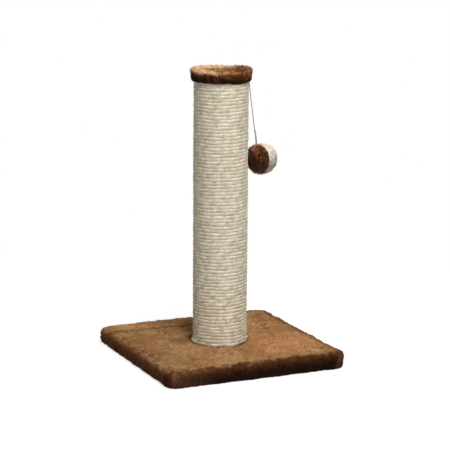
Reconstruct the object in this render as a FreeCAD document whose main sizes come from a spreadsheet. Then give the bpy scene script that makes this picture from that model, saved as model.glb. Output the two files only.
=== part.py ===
import FreeCAD, Part
import math
import os
import re

import Sketcher
from FreeCAD import Placement, Rotation, Vector

# A cat scratching post: a plush covered base board, a cardboard tube wound with sisal rope
# and bolted to the board, a plush covered cap, and a ball that hangs from the cap on a cord.
# Origin: centre of the base's underside. +Z up, +X and +Y along the sides of the base.

SIZES = {
    # base board and its cover
    "board_side": 290.0,
    "board_thickness": 18.0,
    "board_corner": 6.3,
    "base_pile": 5.0,
    "base_edge_round": 6.2,
    "hem_fold": 3.0,
    "hem_width": 35.0,
    "hem_edge_round": 2.4,
    "foot_press": 2.0,
    # bolt that holds the post to the board
    "bolt_diameter": 8.0,
    "bolt_length": 40.0,
    "bolt_head_across": 13.0,
    "bolt_head_height": 5.3,
    "bolt_tip_chamfer": 1.0,
    "bolt_hole_play": 0.5,
    "thread_play": 0.1,
    "washer_diameter": 24.0,
    "washer_thickness": 1.6,
    "counterbore_diameter": 28.0,
    "counterbore_depth": 8.0,
    "nut_flange_diameter": 19.0,
    "nut_flange_thickness": 1.5,
    "nut_barrel_diameter": 10.0,
    "nut_barrel_length": 11.0,
    "nut_prong_length": 6.0,
    "nut_prong_width": 2.5,
    "nut_prong_thickness": 1.2,
    # tube and the discs in its ends
    "tube_diameter": 76.6,
    "tube_wall": 4.0,
    "tube_length": 422.0,
    "plug_thickness": 20.0,
    "plug_play": 0.15,
    "nail_length": 18.0,
    "nail_diameter": 2.0,
    "nail_head_diameter": 6.0,
    "nail_head_thickness": 1.0,
    # sisal rope
    "rope_diameter": 4.95,
    "rope_pitch": 5.4,
    "rope_turns": 24.0,
    "glue_gap": 0.3,
    "rope_end_to_cord": 14.0,
    "tack_length": 9.0,
    "tack_diameter": 1.2,
    "tack_head_diameter": 4.0,
    "tack_head_thickness": 0.8,
    # cap
    "cap_overhang": 0.05,
    "cap_board_thickness": 10.0,
    "cap_pile": 3.6,
    "cap_edge_round": 3.4,
    "cap_hem_fold": 2.5,
    "cap_hem_round": 1.2,
    "screw_length": 25.0,
    "screw_diameter": 4.0,
    "screw_head_diameter": 8.0,
    "screw_head_height": 2.4,
    "screw_point": 3.0,
    # staples in the two hems
    "staple_crown": 10.0,
    "staple_leg": 8.0,
    "staple_wire": 0.8,
    "staple_sunk": 0.6,
    "base_staple_spacing": 50.0,
    # toy
    "toy_angle": -6.5,
    "ball_diameter": 49.0,
    "ball_drop": 128.0,
    "ball_plush": 3.0,
    "ball_seam_turn": 188.5,
    "seam_thread_diameter": 1.2,
    "cord_diameter": 1.6,
    "cord_entry_angle": 22.2,
    "knot_diameter": 3.4,
    "loop_bore": 2.2,
    "hook_wire": 0.7,
    "hook_spread": 2.8,
    "hook_drop": 2.5,
    "hook_offset": 2.0,
    "hook_leg": 7.0,
    # clearances
    "running_gap": 0.3,
    "snug_fit": 0.1,
}
STAPLES_PER_SIDE = 5
CAP_STAPLES = 8
NAILS_PER_PLUG = 4
CAP_SCREWS = 3
NUT_PRONGS = 4
SAMPLES_PER_TURN = 72

# heights and radii that follow from the sizes above
BOARD_TOP = "(hem_fold + board_thickness)"
COVER_TOP = f"({BOARD_TOP} + base_pile)"
COVER_SIDE = "(board_side + 2 * base_pile)"
FOOT = f"({COVER_TOP} - foot_press)"
POST_TOP = f"({FOOT} + tube_length)"
CAP_HEM = f"({POST_TOP} - cap_hem_fold)"
CAP_BOARD_TOP = f"({POST_TOP} + cap_board_thickness)"
CAP_TOP = f"({CAP_BOARD_TOP} + cap_pile)"
TUBE_RADIUS = "(tube_diameter / 2)"
PLUG_RADIUS = f"({TUBE_RADIUS} - tube_wall - plug_play)"
ROPE_INSIDE = f"({TUBE_RADIUS} + glue_gap)"
WINDING_RADIUS = f"({ROPE_INSIDE} + rope_diameter / 2)"
POST_RADIUS = f"({ROPE_INSIDE} + rope_diameter)"
CAP_BOARD_RADIUS = f"({POST_RADIUS} + cap_overhang)"
CAP_RADIUS = f"({CAP_BOARD_RADIUS} + snug_fit + cap_pile)"
SCREW_REACH = f"({TUBE_RADIUS} - nail_length - running_gap - screw_diameter / 2)"
WINDING_TOP = f"({CAP_HEM} - running_gap - rope_diameter / 2)"
WINDING_BOTTOM = f"({WINDING_TOP} - rope_turns * rope_pitch)"
SLEEVE_TOP = f"({WINDING_BOTTOM} + rope_diameter / 2 - rope_pitch)"
BOLT_HEAD_TOP = "(hem_fold + counterbore_depth - washer_thickness)"
BOLT_HEAD_BOTTOM = f"({BOLT_HEAD_TOP} - bolt_head_height)"
PLUG_TOP = f"({FOOT} + plug_thickness)"

doc = FreeCAD.newDocument("scratching_post")
sheet = doc.addObject("Spreadsheet::Sheet", "Sizes")
for row, (size_name, size) in enumerate(SIZES.items(), start=1):
    sheet.set(f"A{row}", size_name)
    sheet.set(f"B{row}", str(size))
    sheet.setAlias(f"B{row}", size_name)
doc.recompute()
nodes = []


def bound(formula):
    """A formula on size names, as an expression on the sheet's cells."""
    return re.sub(r"[a-z][a-z_]+\b(?!\()", r"Sizes.\g<0>", formula)


def number(formula):
    """The present value of a formula on size names."""
    return float(sheet.evalExpression(bound(formula)))


# ---------------------------------------------------------------- sketches and features


def new_node(kind, name):
    """Adds an object that is exported as a sub-part under its name."""
    node = doc.addObject(kind, name)
    node.Label = name
    nodes.append(node)
    return node


def origin_feature(body, role):
    """A plane or axis of a body's own origin."""
    return next(f for f in body.Origin.OriginFeatures if f.Role == role)


def new_sketch(body, role, across="0", up="0", out="0"):
    """A sketch on an origin plane, moved by formulas along its own axes."""
    sketch = body.newObject("Sketcher::SketchObject", "Outline")
    sketch.AttachmentSupport = [(origin_feature(body, role), "")]
    sketch.MapMode = "FlatFace"
    for axis, formula in zip("xyz", (across, up, out)):
        sketch.setExpression(f"AttachmentOffset.Base.{axis}", bound(formula))
    return sketch


def constrain(sketch, formula, *what):
    """Adds a constraint on a size and binds it to a formula."""
    index = sketch.addConstraint(Sketcher.Constraint(*what, number(formula)))
    sketch.setExpression(f"Constraints[{index}]", bound(formula))


def draw_circles(sketch, *radii):
    """Circles about the sketch's origin."""
    for radius in radii:
        circle = Part.Circle(Vector(), Vector(0, 0, 1), number(radius))
        index = sketch.addGeometry(circle)
        sketch.addConstraint(Sketcher.Constraint("Coincident", index, 3, -1, 1))
        constrain(sketch, radius, "Radius", index)


def draw_polygon(sketch, corners):
    """A closed outline whose corners are pairs of formulas."""
    points = [Vector(number(x), number(y), 0) for x, y in corners]
    count = len(points)
    for i in range(count):
        sketch.addGeometry(Part.LineSegment(points[i], points[(i + 1) % count]))
    for i, (x, y) in enumerate(corners):
        sketch.addConstraint(Sketcher.Constraint("Coincident", i, 2, (i + 1) % count, 1))
        constrain(sketch, x, "DistanceX", -1, 1, i, 1)
        constrain(sketch, y, "DistanceY", -1, 1, i, 1)


def draw_rounded_square(sketch, side, radius):
    """A square with round corners, centred on the sketch's origin."""
    half = number(side) / 2
    r = number(radius)
    inner = half - r
    for quarter in range(4):
        turn = Rotation(Vector(0, 0, 1), 90 * quarter)
        start = turn.multVec(Vector(-inner, -half, 0))
        end = turn.multVec(Vector(inner, -half, 0))
        centre = turn.multVec(Vector(inner, -inner, 0))
        first = math.radians(-90 + 90 * quarter)
        sketch.addGeometry(Part.LineSegment(start, end))
        corner = Part.Circle(centre, Vector(0, 0, 1), r)
        sketch.addGeometry(Part.ArcOfCircle(corner, first, first + math.pi / 2))
    for line in range(0, 8, 2):
        sketch.addConstraint(Sketcher.Constraint("Tangent", line, 2, line + 1, 1))
        sketch.addConstraint(Sketcher.Constraint("Tangent", line + 1, 2, (line + 2) % 8, 1))
    for line, way in ((0, "Horizontal"), (4, "Horizontal"), (2, "Vertical"), (6, "Vertical")):
        sketch.addConstraint(Sketcher.Constraint(way, line))
    for arc in (3, 5, 7):
        sketch.addConstraint(Sketcher.Constraint("Equal", 1, arc))
    sketch.addConstraint(Sketcher.Constraint("Equal", 0, 2))
    sketch.addConstraint(Sketcher.Constraint("Symmetric", 3, 3, 7, 3, -1, 1))
    constrain(sketch, radius, "Radius", 1)
    constrain(sketch, side, "DistanceX", 6, 1, 2, 1)


def pad(body, sketch, length, down=False):
    """Extrudes a sketch."""
    feature = body.newObject("PartDesign::Pad", "Pad")
    feature.Profile = sketch
    feature.Reversed = down
    feature.setExpression("Length", bound(length))
    return feature


def pocket(body, sketch, depth):
    """Cuts a sketch upwards and makes sure that it took something away."""
    doc.recompute()
    before = body.Shape.Volume
    feature = body.newObject("PartDesign::Pocket", "Pocket")
    feature.Profile = sketch
    feature.Reversed = True
    feature.setExpression("Length", bound(depth))
    doc.recompute()
    if not body.Shape.Volume < before:
        raise RuntimeError(f"a pocket of {body.Label} cuts nothing")
    return feature


def revolve(body, sketch, axis="V_Axis"):
    """Turns a sketch fully round one of its own axes."""
    feature = body.newObject("PartDesign::Revolution", "Revolution")
    feature.Profile = sketch
    feature.ReferenceAxis = (sketch, [axis])
    feature.Angle = 360.0
    return feature


def level_edges(body, height):
    """Names of the edges of a body that lie in one level plane."""
    doc.recompute()
    level = number(height)
    names = []
    for i, edge in enumerate(body.Shape.Edges, start=1):
        box = edge.BoundBox
        if abs(box.ZMin - level) < 1e-4 and abs(box.ZMax - level) < 1e-4:
            names.append(f"Edge{i}")
    return names


def round_level_edges(body, height, radius):
    """Rounds the edges that lie at one height."""
    names = level_edges(body, height)
    base = body.Tip
    feature = body.newObject("PartDesign::Fillet", "Fillet")
    feature.Base = (base, names)
    feature.setExpression("Radius", bound(radius))


def repeat_round(body, feature, count):
    """Repeats a feature about the body's upright axis, as separate solids where they are apart."""
    pattern = body.newObject("PartDesign::PolarPattern", "Pattern")
    pattern.Originals = [feature]
    pattern.Axis = (origin_feature(body, "Z_Axis"), [""])
    pattern.Angle = 360.0
    pattern.Occurrences = count
    body.Tip = pattern


# ---------------------------------------------------------------- base


def make_base_board():
    body = new_node("PartDesign::Body", "base_board")
    outline = new_sketch(body, "XY_Plane", out="hem_fold")
    draw_rounded_square(outline, "board_side", "board_corner")
    pad(body, outline, "board_thickness")
    counterbore = new_sketch(body, "XY_Plane", out="hem_fold")
    draw_circles(counterbore, "counterbore_diameter / 2")
    pocket(body, counterbore, "counterbore_depth")
    hole = new_sketch(body, "XY_Plane", out="hem_fold")
    draw_circles(hole, "bolt_diameter / 2 + bolt_hole_play")
    pocket(body, hole, "board_thickness")


def make_base_plush_cover():
    """Plush on the board's top and sides, with a hem folded under it all round."""
    body = new_node("PartDesign::Body", "base_plush_cover")
    outline = new_sketch(body, "XY_Plane")
    draw_rounded_square(outline, COVER_SIDE, "board_corner + base_pile")
    pad(body, outline, COVER_TOP)
    round_level_edges(body, COVER_TOP, "base_edge_round")
    round_level_edges(body, "0", "hem_edge_round")
    inside = new_sketch(body, "XY_Plane", out="hem_fold")
    draw_rounded_square(inside, "board_side", "board_corner")
    pocket(body, inside, "board_thickness")
    window = new_sketch(body, "XY_Plane")
    draw_rounded_square(window, f"{COVER_SIDE} - 2 * hem_width", "board_corner")
    pocket(body, window, "hem_fold")
    foot = new_sketch(body, "XY_Plane", out=FOOT)
    draw_circles(foot, f"{POST_RADIUS} + running_gap")
    pocket(body, foot, "foot_press")
    hole = new_sketch(body, "XY_Plane", out=BOARD_TOP)
    draw_circles(hole, "bolt_diameter / 2 + bolt_hole_play")
    pocket(body, hole, "base_pile")


def draw_staple(sketch):
    """A staple's U, its crown at the bottom."""
    low = "0"
    crown = "staple_wire"
    top = "staple_wire + staple_leg"
    outside = "staple_crown / 2"
    inside = "staple_crown / 2 - staple_wire"
    corners = [
        (f"-({outside})", low),
        (outside, low),
        (outside, top),
        (inside, top),
        (inside, crown),
        (f"-({inside})", crown),
        (f"-({inside})", top),
        (f"-({outside})", top),
    ]
    draw_polygon(sketch, corners)


def make_base_cover_staples():
    """Rows of staples along the four hem strips."""
    body = new_node("PartDesign::Body", "base_cover_staples")
    row = f"{COVER_SIDE} / 2 - hem_width / 2"
    start = f"-base_staple_spacing * {(STAPLES_PER_SIDE - 1) / 2}"
    staple = new_sketch(body, "XZ_Plane", across=start, up="staple_sunk", out=row)
    draw_staple(staple)
    first = pad(body, staple, "staple_wire")
    doc.recompute()
    grid = body.newObject("PartDesign::MultiTransform", "Rows")
    grid.Originals = [first]
    along = body.newObject("PartDesign::LinearPattern", "Along")
    along.Direction = (origin_feature(body, "X_Axis"), [""])
    along.Occurrences = STAPLES_PER_SIDE
    along.setExpression("Length", bound(f"base_staple_spacing * {STAPLES_PER_SIDE - 1}"))
    around = body.newObject("PartDesign::PolarPattern", "Around")
    around.Axis = (origin_feature(body, "Z_Axis"), [""])
    around.Angle = 360.0
    around.Occurrences = 4
    grid.Transformations = [along, around]
    body.Tip = grid


def make_base_bolt():
    body = new_node("PartDesign::Body", "base_bolt")
    head = new_sketch(body, "XY_Plane", out=BOLT_HEAD_BOTTOM)
    point = "bolt_head_across / sqrt(3)"
    flat = "bolt_head_across / 2"
    corners = [
        (point, "0"),
        (f"{point} / 2", flat),
        (f"-{point} / 2", flat),
        (f"-{point}", "0"),
        (f"-{point} / 2", f"-{flat}"),
        (f"{point} / 2", f"-{flat}"),
    ]
    draw_polygon(head, corners)
    pad(body, head, "bolt_head_height")
    shank = new_sketch(body, "XY_Plane", out=BOLT_HEAD_TOP)
    draw_circles(shank, "bolt_diameter / 2")
    base = pad(body, shank, "bolt_length")
    names = level_edges(body, f"{BOLT_HEAD_TOP} + bolt_length")
    tip = body.newObject("PartDesign::Chamfer", "Chamfer")
    tip.Base = (base, names)
    tip.setExpression("Size", bound("bolt_tip_chamfer"))


def make_base_washer():
    body = new_node("PartDesign::Body", "base_washer")
    ring = new_sketch(body, "XY_Plane", out=BOLT_HEAD_TOP)
    draw_circles(ring, "washer_diameter / 2", "bolt_diameter / 2 + bolt_hole_play")
    pad(body, ring, "washer_thickness")


# ---------------------------------------------------------------- post


def make_plug(name, bottom, bore):
    """A wooden disc that fits the tube, with a bore where something goes through it."""
    body = new_node("PartDesign::Body", name)
    disc = new_sketch(body, "XY_Plane", out=bottom)
    draw_circles(disc, PLUG_RADIUS)
    pad(body, disc, "plug_thickness")
    if bore:
        hole = new_sketch(body, "XY_Plane", out=bottom)
        draw_circles(hole, bore)
        pocket(body, hole, "plug_thickness")


def make_lower_tee_nut():
    """A flanged nut on the lower plug, its barrel and prongs driven down into the wood."""
    body = new_node("PartDesign::Body", "lower_tee_nut")
    section = new_sketch(body, "XZ_Plane", up=PLUG_TOP)
    bore = "bolt_diameter / 2 + thread_play"
    corners = [
        (bore, "-nut_barrel_length"),
        ("nut_barrel_diameter / 2", "-nut_barrel_length"),
        ("nut_barrel_diameter / 2", "0"),
        ("nut_flange_diameter / 2", "0"),
        ("nut_flange_diameter / 2", "nut_flange_thickness"),
        (bore, "nut_flange_thickness"),
    ]
    draw_polygon(section, corners)
    revolve(body, section)
    doc.recompute()
    prong = new_sketch(body, "XY_Plane", out=PLUG_TOP)
    edge = "nut_flange_diameter / 2"
    corners = [
        (f"{edge} - nut_prong_thickness", "-nut_prong_width / 2"),
        (f"{edge} - nut_prong_thickness / 4", "-nut_prong_width / 2"),
        (f"{edge} - nut_prong_thickness / 4", "nut_prong_width / 2"),
        (f"{edge} - nut_prong_thickness", "nut_prong_width / 2"),
    ]
    draw_polygon(prong, corners)
    repeat_round(body, pad(body, prong, "nut_prong_length", down=True), NUT_PRONGS)


def make_post_tube():
    body = new_node("PartDesign::Body", "post_tube")
    ring = new_sketch(body, "XY_Plane", out=FOOT)
    draw_circles(ring, TUBE_RADIUS, f"{TUBE_RADIUS} - tube_wall")
    pad(body, ring, "tube_length")


def draw_pin(sketch, length, radius, head_radius, head):
    """Half the section of a nail whose head's face is on the sketch's upright axis."""
    corners = [
        (f"-({length})", "0"),
        (f"-({length}) + 2 * ({radius})", radius),
        (f"-({head})", radius),
        (f"-({head})", head_radius),
        ("0", head_radius),
        ("0", "0"),
    ]
    draw_polygon(sketch, corners)


def make_plug_nails(name, middle):
    """Nails through the tube's wall into a plug, their heads flush under the rope."""
    body = new_node("PartDesign::Body", name)
    nail = new_sketch(body, "XZ_Plane", across=TUBE_RADIUS, up=middle)
    head = "nail_head_diameter / 2"
    draw_pin(nail, "nail_length", "nail_diameter / 2", head, "nail_head_thickness")
    repeat_round(body, revolve(body, nail, "H_Axis"), NAILS_PER_PLUG)


# ---------------------------------------------------------------- sisal rope


def helix_point(radius, pitch, bottom, start, turns):
    """The point and the direction of a rising helix after some turns."""
    angle = math.radians(start) + 2 * math.pi * turns
    climb = pitch / (2 * math.pi)
    point = Vector(radius * math.cos(angle), radius * math.sin(angle), bottom + pitch * turns)
    way = Vector(-radius * math.sin(angle), radius * math.cos(angle), climb)
    return point, way.normalize()


def biarc(start, way, end, end_way):
    """Two arcs, tangent to each other, from one point and direction to another."""
    chord = end - start
    both = chord.dot(way + end_way)
    spread = 2 - 2 * way.dot(end_way)
    reach = (math.sqrt(both**2 + spread * chord.dot(chord)) - both) / spread
    first = start + way * reach
    second = end - end_way * reach
    joint = (first + second) * 0.5
    arcs = []
    for a, corner, b in ((start, first, joint), (joint, second, end)):
        weight = a.distanceToPoint(b) / 2 / reach
        middle = (a + corner * (2 * weight) + b) * (1 / (2 + 2 * weight))
        arcs.append(Part.Arc(a, middle, b).toShape())
    return arcs


def tube_along(edges, radius):
    """A solid round tube along a path of tangent edges."""
    path = Part.Wire(edges)
    start = edges[0].valueAt(edges[0].FirstParameter)
    way = edges[0].tangentAt(edges[0].FirstParameter)
    shell = Part.BRepOffsetAPI.MakePipeShell(path)
    shell.add(Part.Wire(Part.makeCircle(radius, start, way)))
    shell.build()
    shell.makeSolid()
    return shell.shape()


def least_gap(points, per_turn, diameter):
    """The least gap between a winding's neighbouring turns, measured on its points."""
    least = min(
        points[i].distanceToPoint(points[j])
        for i in range(len(points))
        for j in range(i + per_turn * 3 // 4, min(i + per_turn * 5 // 4, len(points)))
    )
    return least - diameter


def make_sisal_winding_upper():
    """The upper turns of the rope: one unbroken right-handed helix, a straight run at each end."""
    radius = number(WINDING_RADIUS)
    pitch = number("rope_pitch")
    bottom = number(WINDING_BOTTOM)
    thickness = number("rope_diameter")
    turns = int(number("rope_turns"))
    end_angle = number("toy_angle - rope_end_to_cord")
    knots = [helix_point(radius, pitch, bottom, end_angle, i / 2) for i in range(2 * turns + 1)]
    first, first_way = knots[0]
    last, last_way = knots[-1]
    edges = [Part.LineSegment(first - first_way * thickness, first).toShape()]
    for (start, way), (end, end_way) in zip(knots, knots[1:]):
        edges += biarc(start, way, end, end_way)
    edges.append(Part.LineSegment(last, last + last_way * thickness).toShape())
    node = new_node("Part::Feature", "sisal_winding_upper")
    node.Shape = tube_along(edges, thickness / 2)
    per_arc = SAMPLES_PER_TURN // 4
    points = [p for edge in edges[1:-1] for p in edge.discretize(per_arc + 1)[:-1]]
    gap = least_gap(points, SAMPLES_PER_TURN, thickness)
    print(f"sisal_winding_upper: {turns} turns, least gap to itself {gap:.2f} mm")


def make_sisal_winding_lower():
    """The rest of the winding, as a closed solid of its outer shape."""
    body = new_node("PartDesign::Body", "sisal_winding_lower")
    ring = new_sketch(body, "XY_Plane", out=FOOT)
    draw_circles(ring, POST_RADIUS, ROPE_INSIDE)
    pad(body, ring, f"{SLEEVE_TOP} - {FOOT}")


def make_rope_end_tacks():
    """A tack through each end of the rope into the tube."""
    body = new_node("PartDesign::Body", "rope_end_tacks")
    face = f"{POST_RADIUS} + tack_head_thickness"
    head = "tack_head_diameter / 2"
    for middle in (f"{FOOT} + rope_diameter", WINDING_TOP):
        tack = new_sketch(body, "XZ_Plane", across=face, up=middle)
        draw_pin(tack, "tack_length", "tack_diameter / 2", head, "tack_head_thickness")
        revolve(body, tack, "H_Axis")
        doc.recompute()
    body.setExpression("Placement.Rotation.Angle", bound("toy_angle - rope_end_to_cord"))


# ---------------------------------------------------------------- cap


def make_cap_board():
    body = new_node("PartDesign::Body", "cap_board")
    disc = new_sketch(body, "XY_Plane", out=POST_TOP)
    draw_circles(disc, CAP_BOARD_RADIUS)
    pad(body, disc, "cap_board_thickness")


def make_cap_screws():
    """Countersunk screws through the cap's board into the upper plug, flush with the board."""
    body = new_node("PartDesign::Body", "cap_screws")
    screw = new_sketch(body, "XZ_Plane", across=SCREW_REACH, up=CAP_BOARD_TOP)
    corners = [
        ("0", "0"),
        ("0", "-screw_length"),
        ("screw_diameter / 2", "-screw_length + screw_point"),
        ("screw_diameter / 2", "-screw_head_height"),
        ("screw_head_diameter / 2", "0"),
    ]
    draw_polygon(screw, corners)
    repeat_round(body, revolve(body, screw), CAP_SCREWS)


def make_cap_plush_cover():
    """Plush over the cap's board, its hem folded under the rim and round the tube."""
    body = new_node("PartDesign::Body", "cap_plush_cover")
    outline = new_sketch(body, "XY_Plane", out=CAP_HEM)
    draw_circles(outline, CAP_RADIUS)
    pad(body, outline, f"{CAP_TOP} - {CAP_HEM}")
    round_level_edges(body, CAP_TOP, "cap_edge_round")
    round_level_edges(body, CAP_HEM, "cap_hem_round")
    inside = new_sketch(body, "XY_Plane", out=POST_TOP)
    draw_circles(inside, f"{CAP_BOARD_RADIUS} + snug_fit")
    pocket(body, inside, "cap_board_thickness")
    opening = new_sketch(body, "XY_Plane", out=CAP_HEM)
    draw_circles(opening, ROPE_INSIDE)
    pocket(body, opening, "cap_hem_fold")


def make_cap_cover_staples():
    """Staples up through the hem into the cap's board."""
    body = new_node("PartDesign::Body", "cap_cover_staples")
    middle = f"({ROPE_INSIDE} + {CAP_RADIUS}) / 2"
    staple = new_sketch(body, "XZ_Plane", up=f"{CAP_HEM} + staple_sunk", out=middle)
    draw_staple(staple)
    repeat_round(body, pad(body, staple, "staple_wire"), CAP_STAPLES)
    clear_of_toy = Rotation(Vector(0, 0, 1), 180 / CAP_STAPLES)
    body.Placement = Placement(Vector(), clear_of_toy)


# ---------------------------------------------------------------- toy

# The toy is laid out in the plane of the post's axis and the ball's centre, then turned.
toy_turn = Placement(Vector(), Rotation(Vector(0, 0, 1), number("toy_angle")))
crown = Vector(number(f"{POST_RADIUS} + hook_offset"), 0, number(f"{CAP_HEM} - hook_drop"))
loop_hang = number("loop_bore / 2 - hook_wire / 2 - snug_fit")
loop_centre = crown - Vector(0, 0, loop_hang)
loop_radius = number("(loop_bore + cord_diameter) / 2")
pivot = loop_centre - Vector(0, 0, loop_radius)
ball_reach = number(f"{POST_RADIUS} + running_gap + ball_diameter / 2")
ball_centre = Vector(ball_reach, 0, number(f"{CAP_HEM} - ball_drop"))
entry = math.radians(number("cord_entry_angle"))
twist_axis = Vector(-math.sin(entry), 0, math.cos(entry))
knot_reach = number("(ball_diameter + knot_diameter) / 2 + running_gap")
knot_centre = ball_centre + twist_axis * knot_reach
cord_way = (knot_centre - pivot).normalize()


def make_toy_cord_staple():
    """A round wire staple under the cap, its crown pointing away from the post."""
    node = new_node("Part::Feature", "toy_cord_staple")
    half = number("hook_spread / 2")
    bend = number("hook_wire")
    top = number(f"{POST_TOP} + hook_leg")
    side = Vector(1, 0, 0)
    rise = Vector(0, 0, 1)
    edges = []
    inner = crown - side * half
    outer = crown + side * half
    knee = bend * (1 - math.sqrt(0.5))
    foot = Vector(inner.x, 0, top)
    head = Vector(outer.x, 0, top)
    edges.append(Part.LineSegment(foot, inner + rise * bend).toShape())
    middle = inner + (side + rise) * knee
    edges.append(Part.Arc(inner + rise * bend, middle, inner + side * bend).toShape())
    edges.append(Part.LineSegment(inner + side * bend, outer - side * bend).toShape())
    middle = outer + (rise - side) * knee
    edges.append(Part.Arc(outer - side * bend, middle, outer + rise * bend).toShape())
    edges.append(Part.LineSegment(outer + rise * bend, head).toShape())
    node.Shape = tube_along(edges, number("hook_wire / 2"))
    node.Placement = toy_turn


def make_toy_cord_loop():
    """The eye of cord that hangs on the staple's crown."""
    node = new_node("Part::Torus", "toy_cord_loop")
    node.setExpression("Radius1", bound("(loop_bore + cord_diameter) / 2"))
    node.setExpression("Radius2", bound("cord_diameter / 2"))
    upright = Rotation(Vector(0, 1, 0), 90)
    node.Placement = toy_turn * Placement(loop_centre, upright)


def make_toy_cord():
    """The cord, pulled straight by the ball: one run from the eye into the knot."""
    node = new_node("Part::Feature", "toy_cord")
    radius = number("cord_diameter / 2")
    top = pivot + cord_way * (radius + number("running_gap"))
    run = Part.LineSegment(top, knot_centre).toShape()
    node.Shape = tube_along([run], radius)
    node.Placement = toy_turn
    print(f"toy_cord: one straight run of {run.Length:.1f} mm, no bends")


def make_toy_cord_knot():
    node = new_node("Part::Sphere", "toy_cord_knot")
    node.setExpression("Radius", bound("knot_diameter / 2"))
    node.Placement = toy_turn * Placement(knot_centre, Rotation())


def seam_placement(turn):
    """The ball's centre, with the local +Z axis level and turned from the toy's plane."""
    facing = Rotation(Vector(0, 0, 1), turn) * Rotation(Vector(0, 1, 0), 90)
    return toy_turn * Placement(ball_centre, facing)


def make_toy_core():
    node = new_node("Part::Sphere", "toy_core")
    node.setExpression("Radius", bound("ball_diameter / 2 - ball_plush - snug_fit"))
    node.Placement = toy_turn * Placement(ball_centre, Rotation())


def make_toy_half(name, turn):
    """Half of the ball's plush shell, with half of the seam's groove in its edge."""
    outside = doc.addObject("Part::Sphere", f"{name}_outside")
    outside.setExpression("Radius", bound("ball_diameter / 2"))
    outside.Angle1 = 0
    inside = doc.addObject("Part::Sphere", f"{name}_inside")
    inside.setExpression("Radius", bound("ball_diameter / 2 - ball_plush"))
    shell = doc.addObject("Part::Cut", f"{name}_shell")
    shell.Base = outside
    shell.Tool = inside
    groove = doc.addObject("Part::Torus", f"{name}_groove")
    bind_seam(groove)
    half = new_node("Part::Cut", name)
    half.Base = shell
    half.Tool = groove
    half.Placement = seam_placement(turn)


def bind_seam(torus):
    """Sizes a torus as the thread round the ball's seam, flush with the plush."""
    torus.setExpression("Radius1", bound("(ball_diameter - seam_thread_diameter) / 2"))
    torus.setExpression("Radius2", bound("seam_thread_diameter / 2"))


def make_toy_seam_thread():
    node = new_node("Part::Torus", "toy_seam_thread")
    bind_seam(node)
    node.Placement = seam_placement(number("ball_seam_turn"))


def check_and_export():
    """Stops on any failed object or unsound shape, then writes one file per sub-part."""
    doc.recompute()
    for item in doc.Objects:
        if "Invalid" in item.State or "Error" in item.State:
            raise RuntimeError(f"{item.Label} failed: {item.State}")
    for node in nodes:
        if node.Shape.isNull() or not node.Shape.isValid() or not node.Shape.Solids:
            raise RuntimeError(f"{node.Label} has no sound solid")
    os.makedirs("parts", exist_ok=True)
    for node in nodes:
        node.Shape.exportStep(f"parts/{node.Label}.step")
        print(f"{node.Label}: {len(node.Shape.Solids)} solids, {node.Shape.Volume:.0f} mm3")


make_base_board()
make_base_plush_cover()
make_base_cover_staples()
make_base_bolt()
make_base_washer()
make_plug("lower_plug", FOOT, "nut_barrel_diameter / 2 + snug_fit")
make_lower_tee_nut()
make_plug_nails("lower_plug_nails", f"{FOOT} + plug_thickness / 2")
make_post_tube()
make_sisal_winding_upper()
make_sisal_winding_lower()
make_rope_end_tacks()
make_plug("upper_plug", f"{POST_TOP} - plug_thickness", None)
make_plug_nails("upper_plug_nails", f"{POST_TOP} - plug_thickness / 2")
make_cap_board()
make_cap_screws()
make_cap_plush_cover()
make_cap_cover_staples()
make_toy_cord_staple()
make_toy_cord_loop()
make_toy_cord()
make_toy_cord_knot()
make_toy_core()
make_toy_half("toy_brown_half", number("ball_seam_turn"))
make_toy_half("toy_cream_half", number("ball_seam_turn") + 180)
make_toy_seam_thread()
check_and_export()
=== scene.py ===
import logging
import math
import random
from dataclasses import dataclass
from enum import Enum
from typing import Callable

import bmesh
import bpy
from mathutils import Matrix, Vector, noise


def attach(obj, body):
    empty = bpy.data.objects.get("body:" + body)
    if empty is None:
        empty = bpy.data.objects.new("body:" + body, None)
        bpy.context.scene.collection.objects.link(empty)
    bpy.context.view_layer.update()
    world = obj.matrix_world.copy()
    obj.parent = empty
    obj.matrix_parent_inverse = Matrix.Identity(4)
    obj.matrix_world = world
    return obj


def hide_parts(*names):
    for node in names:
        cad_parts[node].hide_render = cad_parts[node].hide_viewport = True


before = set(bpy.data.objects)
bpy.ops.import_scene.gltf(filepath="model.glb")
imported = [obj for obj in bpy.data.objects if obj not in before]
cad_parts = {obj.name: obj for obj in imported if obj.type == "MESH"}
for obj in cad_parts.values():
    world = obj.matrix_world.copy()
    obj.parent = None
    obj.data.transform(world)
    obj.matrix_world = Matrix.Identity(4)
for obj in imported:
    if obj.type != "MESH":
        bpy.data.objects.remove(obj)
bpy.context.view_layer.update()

MM = 0.001
WORKBENCH = logging.getLogger("scratching_post")

HANGER_ANGLE = -6.5
VIEW_ANGLE = -24.5
BALL_LEVEL = 315.5 * MM
CREASE_SLANT = 0.09

Number = float | int
Colour = tuple[float, float, float, float]
WHITE: Colour = (1.0, 1.0, 1.0, 1.0)


def shade(red: int, green: int, blue: int) -> Colour:
    """Turns a colour as a screen shows it into the linear colour that a shader takes.

    Args:
        red: red from 0 to 255.
        green: green from 0 to 255.
        blue: blue from 0 to 255.

    Returns:
        The linear colour with full alpha.
    """
    linear = []
    for part in (red, green, blue):
        level = part / 255
        linear.append(level / 12.92 if level <= 0.04045 else ((level + 0.055) / 1.055) ** 2.4)
    return (linear[0], linear[1], linear[2], 1.0)


WARM_SHEEN = shade(210, 150, 100)
CORD_GREY = shade(168, 170, 176)


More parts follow.
